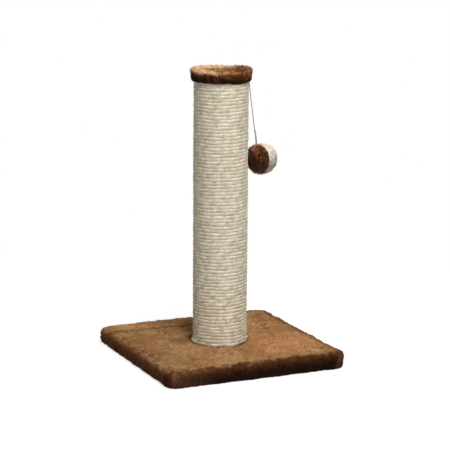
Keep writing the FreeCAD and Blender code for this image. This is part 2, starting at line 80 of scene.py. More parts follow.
class Wire:
    """One shader socket, so that a sum of what sockets carry reads as Python."""

    def __init__(self, paint: "Paint", socket: bpy.types.NodeSocket) -> None:
        """Keeps the socket and the node tree that it belongs to."""
        self.paint = paint
        self.socket = socket

    def __add__(self, other: "Wire | Number") -> "Wire":
        """Adds."""
        return self.paint.maths("ADD", self, other)

    def __radd__(self, other: Number) -> "Wire":
        """Adds to a plain number."""
        return self.paint.maths("ADD", other, self)

    def __sub__(self, other: "Wire | Number") -> "Wire":
        """Subtracts."""
        return self.paint.maths("SUBTRACT", self, other)

    def __rsub__(self, other: Number) -> "Wire":
        """Subtracts from a plain number."""
        return self.paint.maths("SUBTRACT", other, self)

    def __mul__(self, other: "Wire | Number") -> "Wire":
        """Multiplies."""
        return self.paint.maths("MULTIPLY", self, other)

    def __rmul__(self, other: Number) -> "Wire":
        """Multiplies a plain number."""
        return self.paint.maths("MULTIPLY", other, self)

    def __truediv__(self, other: "Wire | Number") -> "Wire":
        """Divides."""
        return self.paint.maths("DIVIDE", self, other)


class Paint:
    """The node tree of one material or world, and the few ways in which this scene adds to it."""

    def __init__(self, name: str, world: bool = False) -> None:
        """Starts an empty node tree.

        Args:
            name: the name of the material or world.
            world: whether it is a world.
        """
        self.owner = (bpy.data.worlds if world else bpy.data.materials).new(name)
        self.owner.use_nodes = True
        self.tree = self.owner.node_tree
        self.tree.nodes.clear()

    def node(self, kind: str, settings: dict[str, object] | None = None,
             values: dict[str | int, object] | None = None) -> bpy.types.Node:
        """Adds one node.

        Args:
            kind: the node's type.
            settings: its own settings, which are set first.
            values: what each of its sockets holds or is linked to.

        Returns:
            The node.
        """
        made = self.tree.nodes.new(kind)
        for key, setting in (settings or {}).items():
            setattr(made, key, setting)
        for key, value in (values or {}).items():
            if isinstance(value, Wire):
                self.tree.links.new(value.socket, made.inputs[key])
            else:
                made.inputs[key].default_value = value
        return made

    def out(self, made: bpy.types.Node, socket: str | int = 0) -> Wire:
        """Wraps one output of a node."""
        return Wire(self, made.outputs[socket])

    def maths(self, operation: str, *terms: Wire | Number) -> Wire:
        """Adds a Math node.

        Args:
            operation: what it does.
            terms: its one to three numbers or sockets.

        Returns:
            Its result.
        """
        return self.out(self.node("ShaderNodeMath", {"operation": operation}, dict(enumerate(terms))))

    def smooth(self, value: Wire, start: float, end: float) -> Wire:
        """Rises softly from 0 at start to 1 at end.

        Args:
            value: what is read.
            start: where the step begins; it may be the larger.
            end: where it is complete.

        Returns:
            A number from 0 to 1.
        """
        values = {0: value, 1: start, 2: end, 3: 0.0, 4: 1.0}
        return self.out(self.node("ShaderNodeMapRange", {"interpolation_type": "SMOOTHSTEP"}, values))

    def place(self) -> Wire:
        """The point of the surface in the object's own metres."""
        return self.out(self.node("ShaderNodeTexCoord"), "Object")

    def split(self, vector: Wire) -> tuple[Wire, Wire, Wire]:
        """Takes a vector apart."""
        parts = self.node("ShaderNodeSeparateXYZ", None, {0: vector})
        return self.out(parts, 0), self.out(parts, 1), self.out(parts, 2)

    def join(self, across: Wire | Number, along: Wire | Number, up: Wire | Number) -> Wire:
        """Makes a vector of three numbers."""
        return self.out(self.node("ShaderNodeCombineXYZ", None, {0: across, 1: along, 2: up}))

    def length(self, vector: Wire) -> Wire:
        """How long a vector is."""
        return self.out(self.node("ShaderNodeVectorMath", {"operation": "LENGTH"}, {0: vector}), "Value")

    def larger(self, first: Wire, second: Wire) -> Wire:
        """The larger of two numbers."""
        return self.maths("MAXIMUM", first, second)

    def note(self, name: str) -> Wire:
        """A number that the mesh carries on its points."""
        return self.out(self.node("ShaderNodeAttribute", {"attribute_name": name}), "Fac")

    def nap(self) -> tuple[Wire, Wire, Wire]:
        """What a plush notes: whether a point is a tip, how full its clump is, and the clump's tone."""
        return self.note("tip"), self.note("full"), self.note("tone")

    def grain(self, place: Wire, size: float, detail: float = 2.0, rough: float = 0.5) -> Wire:
        """Soft noise with blotches of about that size.

        Args:
            place: the vector it is read at, in metres.
            size: the width of a blotch in metres.
            detail: how many finer layers it has.
            rough: how strong those layers are.

        Returns:
            A number about 0.5.
        """
        values = {"Vector": place, "Scale": 1 / size, "Detail": detail, "Roughness": rough}
        return self.out(self.node("ShaderNodeTexNoise", None, values), 0)

    def stretched(self, place: Wire, along: Vector) -> Wire:
        """Scales the place that a pattern is read at, each way by its own number."""
        return self.out(self.node("ShaderNodeMapping", {"vector_type": "POINT"}, {0: place, 3: along}))

    def blend(self, amount: Wire | Number, first: Wire | Colour, second: Wire | Colour) -> Wire:
        """Mixes two colours.

        Args:
            amount: 0 for the first, 1 for the second.
            first: a colour or a socket that carries one.
            second: the other.

        Returns:
            The mixed colour.
        """
        settings = {"data_type": "RGBA", "blend_type": "MIX", "clamp_factor": True}
        return self.out(self.node("ShaderNodeMix", settings, {0: amount, 6: first, 7: second}), 2)

    def lit(self, colour: Wire | Colour, strength: Wire) -> Wire:
        """Makes a colour lighter or darker by a factor.

        Args:
            colour: the colour.
            strength: the factor, 1 for no change.

        Returns:
            The changed colour.
        """
        values = {0: colour, 1: self.join(strength, strength, strength)}
        if not isinstance(colour, Wire):
            values[0] = colour[:3]
        return self.out(self.node("ShaderNodeVectorMath", {"operation": "MULTIPLY"}, values))

    def dent(self, height: Wire, distance: float, strength: float) -> Wire:
        """Turns a height into a normal.

        Args:
            height: 0 to 1.
            distance: how deep that is, in metres.
            strength: how much of it shows.

        Returns:
            The normal.
        """
        values = {"Height": height, "Distance": distance, "Strength": strength}
        return self.out(self.node("ShaderNodeBump", None, values), "Normal")

    def seen(self) -> Wire:
        """Tells the rays that show the surroundings from those that light the post by them.

        Returns:
            1 for a ray from the camera, mirrored or let through on its way or not, and 0 for the rest.
        """
        rays = self.node("ShaderNodeLightPath")
        total = self.out(rays, "Is Camera Ray") + self.out(rays, "Is Glossy Ray")
        return self.maths("MINIMUM", total + self.out(rays, "Is Transmission Ray"), 1.0)

    def glow(self, strength: Wire, kind: str = "ShaderNodeEmission") -> Wire:
        """A white light that a surface or the world gives off."""
        return self.out(self.node(kind, None, {0: WHITE, 1: strength}))

    def close(self, surface: Wire, kind: str = "ShaderNodeOutputMaterial") -> bpy.types.ID:
        """Joins the last shader to the output and hands over the material or the world."""
        self.node(kind, None, {0: surface})
        return self.owner

    def finish(self, values: dict[str, object]) -> bpy.types.Material:
        """Closes the material with a Principled shader whose sockets hold these values."""
        return self.close(self.out(self.node("ShaderNodeBsdfPrincipled", None, values)))

    def plush(self, colour: Wire, sheen: float = 0.08, tint: Colour = WARM_SHEEN) -> bpy.types.Material:
        """Closes the material as a plush.

        Args:
            colour: its colour.
            sheen: how strong the bloom on its nap is.
            tint: that bloom's colour.

        Returns:
            The material.
        """
        values = {"Base Color": colour, "Roughness": 0.95, "Specular IOR Level": 0.1}
        return self.finish(values | {"Sheen Weight": sheen, "Sheen Roughness": 0.6, "Sheen Tint": tint})


@dataclass(frozen=True)
class BasePlush:
    """Brown plush of the base: tan on top, near black down the sides from painted shade and the darker look of
    pile seen end-on.
    """

    tan: Colour = shade(189, 146, 100)
    warm: Colour = shade(174, 124, 80)
    dusk: Colour = shade(122, 84, 54)
    # side and deep: painted shade down the sides, deepest near the floor; the two left colours: the left side
    # with painted light.
    side: Colour = shade(84, 48, 24)
    deep: Colour = shade(42, 22, 13)
    lit_left_side: Colour = shade(166, 112, 72)
    lit_left_deep: Colour = shade(140, 94, 62)

    def make(self) -> bpy.types.Material:
        """Makes the material.

        Returns:
            The material.
        """
        paint = Paint("base_plush")
        place = paint.place()
        across, along, up = paint.split(place)
        tip, full, tone = paint.nap()
        patch = paint.grain(paint.stretched(place, Vector((1.0, 1.8, 1.0))), 17 * MM, 3.0, 0.65)
        colour = self._top(paint, place, patch)
        colour = self._sides(paint, place, colour, patch, tone)
        back_edge = along - 1 * MM - paint.smooth(across, 0.0, -60 * MM) * (4 * MM)
        edge = paint.larger(across, back_edge)
        # rim: painted shade where the top rounds over into the sides along its right and back edges.
        rim = paint.smooth(edge + (patch - 0.5) * (8 * MM), 132 * MM, 144 * MM)
        colour = paint.blend(rim * 0.65, colour, self.side)
        tuft = paint.grain(place, 5 * MM, 3.0, 0.7)
        # Darker at the roots and in the gaps between clumps: painted shade deep in the pile.
        strength = 0.55 + tip * 0.29 + full * 0.12 + tone * 0.10 + (tuft - 0.5) * 1.2
        return paint.plush(paint.lit(colour, strength * self._painted_light(paint, across, along)))

    def _top(self, paint: Paint, place: Wire, patch: Wire) -> Wire:
        """Colours the pile of the top, with painted shade in its crease, a painted shadow of the post left of
        its foot, and a ring of painted contact shade round the foot.

        Args:
            paint: the material.
            place: the point of the surface.
            patch: noise of the size of a hand-brushed patch.

        Returns:
            The colour.
        """
        across, along, _ = paint.split(place)
        broad = paint.grain(place, 60 * MM, 2.0, 0.55)
        fleck = paint.grain(paint.stretched(place, Vector((1.0, 2.4, 1.0))), 8 * MM, 3.0, 0.7)
        colour = paint.blend(paint.smooth(broad, 0.38, 0.62), self.tan, self.warm)
        colour = paint.blend(paint.smooth(patch, 0.52, 0.70) * 0.45, colour, self.dusk)
        colour = paint.blend(paint.smooth(fleck, 0.56, 0.66) * 0.6, colour, self.dusk)
        # Painted shade along the crease near the back edge, on the left.
        wander = (paint.grain(place, 30 * MM, 2.0) - 0.5) * (9 * MM)
        from_crease = paint.maths("ABSOLUTE", along + across * CREASE_SLANT - 93.5 * MM + wander)
        groove = paint.smooth(from_crease, 9 * MM, 1.5 * MM) * paint.smooth(across, 40 * MM, 0.0)
        colour = paint.blend(groove * 0.55, colour, self.side)
        # flat: a painted shadow of the post on the pile left of its foot; ring: painted contact shade round
        # the foot, widest on the left.
        flat = paint.smooth(self._away(paint, across, along, -58 * MM, 12 * MM), 36 * MM, 4 * MM) * 0.7
        leftwards = paint.smooth(across, 0.0, -25 * MM)
        ring = paint.smooth(self._away(paint, across, along) - leftwards * (3.5 * MM), 50 * MM, 45 * MM)
        return paint.blend(paint.larger(flat, ring * (0.35 + leftwards * 0.65)) * 0.8, colour, self.side)

    def _sides(self, paint: Paint, place: Wire, colour: Wire, patch: Wire, tone: Wire) -> Wire:
        """Darkens the pile down the sides with painted shade: least on the left, at the right end and at the
        near corner, where it gets painted light.

        Args:
            paint: the material.
            place: the point of the surface.
            colour: the colour so far.
            patch: noise of the size of a hand-brushed patch.
            tone: the tone of the clump.

        Returns:
            The colour.
        """
        across, along, up = paint.split(place)
        front = paint.smooth(along, -128 * MM, -147 * MM)
        left = paint.smooth(across, -120 * MM, -147 * MM)
        hair = paint.grain(paint.stretched(place, Vector((1.0, 1.0, 0.3))), 5 * MM, 2.0, 0.65)
        uneven = (tone - 0.5) * (5 * MM) + (patch - 0.5) * (16 * MM) + (hair - 0.5) * (14 * MM)
        level = up + uneven - left * (2 * MM) - front * (7 * MM)
        border = paint.larger(front, paint.smooth(across, -126 * MM, -140 * MM))
        nick = paint.smooth(paint.grain(place, 9 * MM, 2.0, 0.6), 0.50, 0.62)
        nick = nick * paint.smooth(up, 20 * MM, 24 * MM)
        colour = paint.blend(nick * border * 0.8, colour, self.side)
        # pale: where the sides take the lighter colours, painted light on the left, the right end and the near
        # corner; blot brings back the dark side colour in patches on the left and in a band before its front
        # corner.
        corner = paint.smooth(along, -130 * MM, -144 * MM)
        end = paint.smooth(across - up * 0.3, 126 * MM, 137 * MM) * corner
        near = paint.smooth(across + (patch - 0.5) * (60 * MM), -55 * MM, -125 * MM) * front
        pale = paint.larger(paint.larger(left, end * 0.8), near * 0.45)
        notch = paint.smooth(along, -118 * MM, -134 * MM) * paint.smooth(along, -149 * MM, -141 * MM)
        blot = paint.larger(paint.smooth(patch, 0.50, 0.60) * left * 0.55, notch * left * 0.9)
        side = paint.blend(blot, paint.blend(pale, self.side, self.lit_left_side), self.side)
        deep = paint.blend(blot, paint.blend(pale, self.deep, self.lit_left_deep), self.side)
        # Down the sides: painted shade, to the side colour and then the deep one near the floor, together with
        # the darker look of pile seen end-on.
        colour = paint.blend(paint.smooth(level, 26 * MM, 17 * MM), colour, side)
        return paint.blend(paint.smooth(level, 17 * MM, 3 * MM), colour, deep)

    def _painted_light(self, paint: Paint, across: Wire, along: Wire) -> Wire:
        """Painted light and shade on the pile: lighter on the right and on the roll beyond the crease, darker
        on the left and at the back.

        Args:
            paint: the material.
            across: the point's place across the base.
            along: its place along the base.

        Returns:
            A factor about 1.
        """
        sunny = paint.smooth(self._away(paint, across, along, 90 * MM, -60 * MM), 90 * MM, 15 * MM)
        dim = paint.smooth(self._away(paint, across, along, 140 * MM, 130 * MM), 90 * MM, 20 * MM)
        beyond = paint.smooth(along + across * CREASE_SLANT, 98 * MM, 106 * MM)
        beyond = beyond * paint.smooth(across, 30 * MM, -10 * MM)
        leftward = paint.smooth(across, -30 * MM, -110 * MM) * (1.0 - beyond)
        return 1.0 + sunny * 0.36 - dim * 0.14 + beyond * 0.14 - leftward * 0.13

    @staticmethod
    def _away(paint: Paint, across: Wire, along: Wire, spot_x: float = 0.0, spot_y: float = 0.0) -> Wire:
        """The distance from a spot of the base, seen from above."""
        return paint.length(paint.join(across - spot_x, along - spot_y, 0.0))


@dataclass(frozen=True)
class CapPlush:
    """Plush of the cap: tan curls with a painted highlight where it catches the light, and painted shade down
    its side.
    """

    # light: the colour of the painted highlight; side and deep: the colours of the painted shade down the
    # side.
    light: Colour = shade(255, 210, 158)
    brown: Colour = shade(172, 113, 68)
    side: Colour = shade(104, 60, 32)
    deep: Colour = shade(54, 32, 17)

    def make(self) -> bpy.types.Material:
        """Makes the material.

        Returns:
            The material.
        """
        paint = Paint("cap_plush")
        place = paint.place()
        across, along, up = paint.split(place)
        tip, full, tone = paint.nap()
        broad = paint.grain(place, 15 * MM, 2.0, 0.6)
        strand = paint.grain(paint.stretched(place, Vector((1.0, 1.0, 0.6))), 4.2 * MM, 3.0, 0.7)
        lean = across * 0.91 - along * 0.41
        mottle = (broad - 0.5) * 1.1 + (tone - 0.5) * 0.3
        # sunny: a painted highlight over the left of the cap; shadow: painted shade in patches, less under the
        # highlight.
        sunny = paint.smooth(lean + mottle * (70 * MM), 30 * MM, -30 * MM)
        colour = paint.blend(sunny, self.brown, self.light)
        shadow = paint.smooth(paint.grain(place, 12 * MM, 3.0, 0.65) + (tone - 0.5) * 0.12, 0.46, 0.58)
        colour = paint.blend(shadow * (0.85 - sunny * 0.60), colour, self.deep)
        # back: the painted highlight again towards the back of the top.
        back = paint.smooth(across * 0.41 + along * 0.91 + mottle * (20 * MM), 18 * MM, 38 * MM)
        colour = paint.blend(back * 0.6, colour, self.light)
        # Down the side: painted shade, to the side colour and then the deep one at the lower edge, less at the
        # right end.
        level = up + mottle * (12 * MM) + (strand - 0.5) * (10 * MM)
        end = paint.smooth(lean + (broad - 0.5) * (16 * MM), 32 * MM, 40 * MM)
        low = paint.blend(end * 0.75, self.side, self.brown)
        colour = paint.blend(paint.smooth(level, 460 * MM, 453 * MM), colour, low)
        colour = paint.blend(paint.smooth(level, 451 * MM, 446 * MM), colour, self.deep)
        # Darker at the roots and in the gaps between clumps: painted shade deep in the pile.
        strength = 0.54 + tip * 0.32 + full * 0.16 + (strand - 0.5) * 1.9
        return paint.plush(paint.lit(colour, strength))


@dataclass(frozen=True)
class BallPlush:
    """Plush of one half of the ball: a main colour, lighter curls, and a lighter colour below, which is
    painted light on the underside.
    """

    name: str
    curl: Colour
    middle: Colour
    lit_below: Colour
    wisp: Colour
    contrast: float
    middle_level: float = 316 * MM
    reach: float = 24.5 * MM

    def make(self) -> bpy.types.Material:
        """Makes the material.

        Returns:
            The material.
        """
        paint = Paint(self.name)
        place = paint.place()
        up = paint.split(place)[2]
        tip, full, tone = paint.nap()
        patch = paint.grain(place, 10 * MM, 2.0, 0.6)
        tuft = paint.grain(place, 3.4 * MM, 2.0, 0.6)
        level = (up - self.middle_level) / self.reach + (patch - 0.5) * 1.2
        # The lower part takes the colour below: painted light on the underside.
        colour = paint.blend(paint.smooth(level, 0.1, -1.0), self.middle, self.lit_below)
        curl = paint.smooth(tone + level * 0.12 + (patch - 0.5) * 0.3, 0.60, 0.95) * 0.8
        colour = paint.blend(curl, colour, self.curl)
        # Light wisps at the top, and at the underside (the second term of crown), where they are painted
        # light.
        wisp = paint.smooth(patch + (tuft - 0.5) * 0.8, 0.48, 0.58)
        crown = paint.smooth(level, 0.55, 0.9) + paint.smooth(level, -0.4, -0.7) * 0.9
        colour = paint.blend(wisp * crown * 0.6, colour, self.wisp)
        # lift: darker at the roots and in the gaps between clumps, painted shade deep in the pile.
        lift = (tip - 0.5) * 0.7 + (full - 0.5) * 0.7 + (tuft - 0.5) * 0.9
        return paint.plush(paint.lit(colour, 0.9 + lift * self.contrast), 0.06, WHITE)


@dataclass(frozen=True)
class Sisal:
    """Pale sisal: straw fibres along each strand, with painted shade in the creases, greyer and browner there.
    """

    straw: Colour = shade(236, 227, 207)
    dry: Colour = shade(214, 202, 174)
    # crease: the colour of the painted shade in the creases; slate: that of the painted shade in the gaps
    # between the lowest turns.
    crease: Colour = shade(154, 133, 96)
    gap_shade_slate: Colour = shade(112, 118, 112)

    def make(self) -> bpy.types.Material:
        """Makes the material.

        Returns:
            The material.
        """
        paint = Paint("sisal_rope")
        along = paint.note("along")
        around = paint.note("around")
        lobe = paint.note("lobe")
        outer = paint.note("outer")
        fibre = paint.grain(paint.join(along * 90.0, around * 26.0, 0.0), 1.0, 3.0, 0.65)
        blotch = paint.grain(paint.join(along * 30.0, around * 1.2, 0.0), 1.0, 2.0, 0.6)
        breaks = paint.grain(paint.join(along * 90.0, 3.0, 0.0), 1.0, 2.0, 0.6)
        colour = paint.blend(paint.smooth(blotch, 0.42, 0.66), self.straw, self.dry)
        # Painted shade between the strands and in the grooves between turns, broken into dashes; where it
        # breaks, the strength below gives the grooves painted light.
        groove = 1.0 - paint.smooth(outer, 0.35, 1.0)
        recess_shade = (1.0 - lobe) * 0.38 + groove * 0.32
        dash = paint.smooth(breaks, 0.47, 0.62)
        colour = paint.blend(recess_shade * dash, colour, self.crease)
        # Painted shade, in grey dashes, in the gaps between the lowest turns.
        colour = paint.blend(self._gap_shade(paint, outer, breaks), colour, self.gap_shade_slate)
        across, along_post, up = paint.split(paint.place())
        # shady: painted shade on the rope's right side.
        shady = paint.smooth(across * 0.91 - along_post * 0.41, 5 * MM, 42 * MM)
        strength = 0.93 + (fibre - 0.5) * 0.38 + groove * (1.0 - dash) * 0.34 - shady * 0.12
        return paint.finish(
            {
                "Base Color": paint.lit(colour, strength),
                "Roughness": 0.85,
                "Specular IOR Level": 0.2,
                "Normal": paint.dent(fibre, 0.4 * MM, 0.6),
            }
        )

    @staticmethod
    def _gap_shade(paint: Paint, outer: Wire, breaks: Wire) -> Wire:
        """Painted shade: greyer dashes in the gaps between the lowest turns, on the side under the ball.

        Args:
            paint: the material.
            outer: 1 at the outermost line of the rope, 0 at its top and bottom.
            breaks: noise along the rope.

        Returns:
            How much of them there is, from 0 to 1.
        """
        across, along, up = paint.split(paint.place())
        facing = paint.smooth(across * 0.59 - along * 0.81, 36 * MM, 42 * MM)
        low = paint.smooth(up, 95 * MM, 60 * MM)
        gap = 1.0 - paint.smooth(outer, 0.3, 0.8)
        return facing * low * gap * paint.smooth(breaks, 0.38, 0.52)


@dataclass(frozen=True)
class SisalFibre:
    """A single loose sisal fibre."""

    straw: Colour = shade(230, 219, 192)

    def make(self) -> bpy.types.Material:
        """Makes the material.

        Returns:
            The material.
        """
        paint = Paint("sisal_fibre")
        vary = paint.grain(paint.place(), 12 * MM, 1.0)
        return paint.finish({"Base Color": paint.lit(self.straw, 0.7 + vary * 0.6), "Roughness": 0.8})


@dataclass(frozen=True)
class Twine:
    """A soft twisted cord or thread."""

    name: str
    colour: Colour
    twist: float = 1.1 * MM

    def make(self) -> bpy.types.Material:
        """Makes the material.

        Returns:
            The material.
        """
        paint = Paint(self.name)
        place = paint.place()
        ply = paint.grain(paint.stretched(place, Vector((1.6, 1.6, 0.7))), self.twist, 1.0)
        return paint.finish(
            {
                "Base Color": paint.lit(self.colour, 0.72 + ply * 0.56),
                "Roughness": 0.85,
                "Specular IOR Level": 0.2,
                "Normal": paint.dent(ply, 0.2 * MM, 0.5),
            }
        )


@dataclass(frozen=True)
class Chips:
    """Pressed board: particle board, cardboard or plain wood, by how its specks are drawn out."""

    name: str
    pale: Colour
    dark: Colour
    speck: float
    draw: tuple[float, float, float]
    roughness: float = 0.8

    def make(self) -> bpy.types.Material:
        """Makes the material.

        Returns:
            The material.
        """
        paint = Paint(self.name)
        drawn = paint.stretched(paint.place(), Vector(self.draw))
        speck = paint.grain(drawn, self.speck, 3.0, 0.7)
        colour = paint.blend(paint.smooth(speck, 0.42, 0.62), self.pale, self.dark)
        return paint.finish(
            {
                "Base Color": colour,
                "Roughness": self.roughness,
                "Specular IOR Level": 0.25,
                "Normal": paint.dent(speck, 0.25 * MM, 0.35),
            }
        )


@dataclass(frozen=True)
class Steel:
    """Zinc-plated or bright steel with a faint mottle."""

    name: str
    colour: Colour
    roughness: float

    def make(self) -> bpy.types.Material:
        """Makes the material.

        Returns:
            The material.
        """
        paint = Paint(self.name)
        mottle = paint.grain(paint.place(), 3 * MM, 2.0)
        return paint.finish(
            {
                "Base Color": paint.lit(self.colour, 0.85 + mottle * 0.3),
                "Metallic": 1.0,
                "Roughness": self.roughness + (mottle - 0.5) * 0.2,
            }
        )


class Slot(Enum):
    """The record's material slots."""

    BOARD = "particle_board"
    BROWN_PLUSH = "brown_plush"
    CREAM_PLUSH = "cream_plush"
    SISAL = "sisal_rope"
    CORD = "grey_cord"
    THREAD = "seam_thread"
    STUFFING = "stuffing"
    TUBE = "tube_board"
    PLUG = "plug_wood"
    ZINC = "zinc_steel"
    STAPLE = "staple_wire"


class Body(Enum):
    """The bodies that move on their own."""

    POST = "post"
    HANGER = "toy_hanger"
    BALL = "toy_ball"


def close_up(bm: bmesh.types.BMesh) -> None:
    """Merges doubled points and turns every face outwards."""
    bmesh.ops.remove_doubles(bm, verts=bm.verts, dist=1e-6)
    bmesh.ops.recalc_face_normals(bm, faces=bm.faces)


def open_edges(bm: bmesh.types.BMesh) -> list[bmesh.types.BMEdge]:
    """The edges that have a face on one side only."""
    return [edge for edge in bm.edges if edge.is_boundary]


def fill_ends(bm: bmesh.types.BMesh) -> None:
    """Closes every opening of the mesh."""
    bmesh.ops.holes_fill(bm, edges=open_edges(bm), sides=0)


def turn_in(bm: bmesh.types.BMesh, level: float, scale: Callable[[Vector], float]) -> None:
    """Grows the open edge of a cover by one ring.

    Args:
        bm: the cover.
        level: how high the new ring lies.
        scale: how far out one of its points lies, as a share of how far out the old edge is there.
    """
    for part in bmesh.ops.extrude_edge_only(bm, edges=open_edges(bm))["geom"]:
        if isinstance(part, bmesh.types.BMVert):
            share = scale(part.co)
            part.co = Vector((part.co.x * share, part.co.y * share, level))


def add_ring(bm: bmesh.types.BMesh, lie: Matrix, reach: float, thick: float, steps: int) -> None:
    """Adds a closed ring of round cord.

    Args:
        bm: where it goes.
        lie: the ring's middle and the way it lies, flat in the first two directions.
        reach: from the ring's middle to the middle of the cord.
        thick: the cord's radius.
        steps: how many steps it takes to go round.
    """
    section = lie @ Matrix.Translation((reach, 0, 0)) @ Matrix.Rotation(math.pi / 2, 4, "X")
    verts = bmesh.ops.create_circle(bm, cap_ends=False, segments=8, radius=thick, matrix=section)["verts"]
    edges = list(dict.fromkeys(edge for vert in verts for edge in vert.link_edges))
    bmesh.ops.spin(bm, geom=verts + edges, cent=lie.translation, axis=lie.to_3x3() @ Vector((0, 0, 1)),
                   angle=math.tau, steps=steps, use_merge=True, use_duplicate=False)


def bell(distance: float, width: float, power: int = 2) -> float:
    """1 at a distance of 0, and falling softly to 0 beyond the width."""
    return math.exp(-((distance / width) ** power))


def save_mesh(name: str, bm: bmesh.types.BMesh) -> bpy.types.Mesh:
    """Writes a bmesh into a mesh.

    Args:
        name: the mesh's name.
        bm: the bmesh, which is freed.

    Returns:
        The mesh.
    """
    mesh = bpy.data.meshes.new(name)
    bm.to_mesh(mesh)
    bm.free()
    return mesh


def put(name: str, data: bpy.types.ID) -> bpy.types.Object:
    """Puts an object into the scene.

    Args:
        name: its name.
        data: its mesh, curve, lamp or camera.

    Returns:
        The object.
    """
    made = bpy.data.objects.new(name, data)
    bpy.context.scene.collection.objects.link(made)
    return made


def make_piece(name: str, bm: bmesh.types.BMesh, material: bpy.types.Material, body: Body) -> bpy.types.Object:
    """Turns a finished bmesh into a smooth piece that rides a body.

    Args:
        name: the piece's name.
        bm: its mesh, which is freed.
        material: its finish.
        body: the body it moves with.

    Returns:
        The object.
    """
    for face in bm.faces:
        face.smooth = True
    mesh = save_mesh(name, bm)
    mesh.materials.append(material)
    piece = put(name, mesh)
    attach(piece, body.value)
    mesh.calc_loop_triangles()
    WORKBENCH.info("%s: %d triangles on %s", name, len(mesh.loop_triangles), body.value)
    return piece


@dataclass
class Wrap:
    """A square sheet pulled down over a board: flat top, rounded edge, wall, and a turn underneath.

    Distances along the sheet are measured from its middle. A corner radius of None wraps a round board.
    """

    flat: float
    top_round: float
    wall: float
    low_round: float
    top: float
    corner: float | None = None
    crown: float = 0.0

    def half_length(self) -> float:
        """How far the sheet reaches from its middle."""
        return self.flat + (self.top_round + self.low_round) * math.pi / 2 + self.wall

    def profile(self, distance: float) -> tuple[float, float]:
        """Where the sheet lies at a distance from its middle.

        Args:
            distance: along the sheet.

        Returns:
            How far out it is, and how high.
        """
        if distance <= self.flat:
            share = distance / self.flat
            return distance, self.top + self.crown * (1 - share * share)
        rest = distance - self.flat
        arc = self.top_round * math.pi / 2
        if rest <= arc:
            turn = rest / self.top_round
            return (
                self.flat + self.top_round * math.sin(turn),
                self.top - self.top_round * (1 - math.cos(turn)),
            )
        rest -= arc
        out = self.flat + self.top_round
        level = self.top - self.top_round
        if rest <= self.wall:
            return out, level - rest
        rest = min(rest - self.wall, self.low_round * math.pi / 2)
        turn = rest / self.low_round
        return (
            out - self.low_round * (1 - math.cos(turn)),
            level - self.wall - self.low_round * math.sin(turn),
        )

    def place(self, x: float, y: float) -> Vector:
        """Moves a point of the flat sheet to where it lies over the board.

        Args:
            x: across the flat sheet.
            y: along the flat sheet.

        Returns:
            The point in space.
        """
        ring = max(abs(x), abs(y))
        if ring < 1e-9:
            return Vector((0.0, 0.0, self.top + self.crown))
        out, level = self.profile(ring)
        corner = out if self.corner is None else min(out, self.corner * ring / self.half_length())
        straight = out - corner
        walk = min(abs(x), abs(y)) / ring * (straight + corner * math.pi / 4)
        if walk > straight:
            turn = (walk - straight) / corner
            front = straight + corner * math.cos(turn)
            side = straight + corner * math.sin(turn)
        else:
            front = out
            side = walk
        if abs(x) >= abs(y):
            return Vector((math.copysign(front, x), math.copysign(side, y), level))
        return Vector((math.copysign(side, x), math.copysign(front, y), level))

    def sheet(self, squares: int) -> bmesh.types.BMesh:
        """Cuts the sheet and pulls it over the board.

        Args:
            squares: how many squares it has along each side.

        Returns:
            The open sheet.
        """
        bm = bmesh.new()
        bmesh.ops.create_grid(bm, x_segments=squares, y_segments=squares, size=self.half_length())
        for vert in bm.verts:
            vert.co = self.place(vert.co.x, vert.co.y)
        return bm


@dataclass
class Pile:
    """The standing fibres of a plush: each face of the backing is drawn out into one small tuft.

    The tufts lean together in clumps. Every point notes whether it is a tip, how near it is to the middle
    of its clump, and that clump's own tone.
    """

    length: float
    spread: float
    lean: Vector
    clump: float
    gather: float
    seed: int

    def raise_tufts(self, bm: bmesh.types.BMesh, faces: list[bmesh.types.BMFace],
                    trim: Callable[[Vector], float] | None = None, floor: float = -1.0,
                    limit: float | None = None) -> None:
        """Draws the faces out into tufts.

        Args:
            bm: the backing.
            faces: the faces that carry pile.
            trim: how long the pile is at a point, as a share.
            floor: no tip goes lower than this.
            limit: how far out from the upright line through the mesh's middle a tip may stand.
        """
        dice = random.Random(self.seed)
        noise.seed_set(self.seed)
        notes = bm.verts.layers.float
        tip_note = notes.new("tip")
        full_note = notes.new("full")
        tone_note = notes.new("tone")
        made = bmesh.ops.poke(bm, faces=faces, offset=0.0, center_mode="MEAN")
        bm.normal_update()
        for vert in bm.verts:
            _, vert[full_note], vert[tone_note] = self._clump(vert.co)
        for vert in made["verts"]:
            root = vert.co.copy()
            middle, full, tone = self._clump(root)
            height = self.length * (0.50 + 0.45 * full + 0.20 * tone + 0.35 * dice.random())
            if trim is not None:
                height *= trim(root)
            side = (middle - root) * self.gather + self.lean * self.spread
            side -= vert.normal * side.dot(vert.normal)
            jitter = Vector((dice.uniform(-1, 1), dice.uniform(-1, 1), dice.uniform(-1, 1)))
            reach = root + vert.normal * height + side + jitter * self.spread * 0.5
            reach.z = max(reach.z, floor)
            if limit is not None:
                scale = min(1.0, limit / max(math.hypot(reach.x, reach.y), limit * 0.1))
                reach = Vector((reach.x * scale, reach.y * scale, reach.z))
            vert.co = reach
            vert[tip_note] = 1.0
        bm.normal_update()

    def _clump(self, place: Vector) -> tuple[Vector, float, float]:
        """Finds the clump that a point of the pile belongs to.

        Args:
            place: the point.

        Returns:
            The clump's middle, how near the point is to it from 0 to 1, and the clump's tone from 0 to 1.
        """
        wander = noise.noise_vector(place / (self.clump * 0.8)) * 0.35
        gaps, middles = noise.voronoi(place / self.clump + wander)
        full = min(1.0, (gaps[1] - gaps[0]) * 2.2)
        tone = 0.5 + 0.5 * noise.cell(middles[0] * 13.7)
        return middles[0] * self.clump, full, min(1.0, max(0.0, tone))


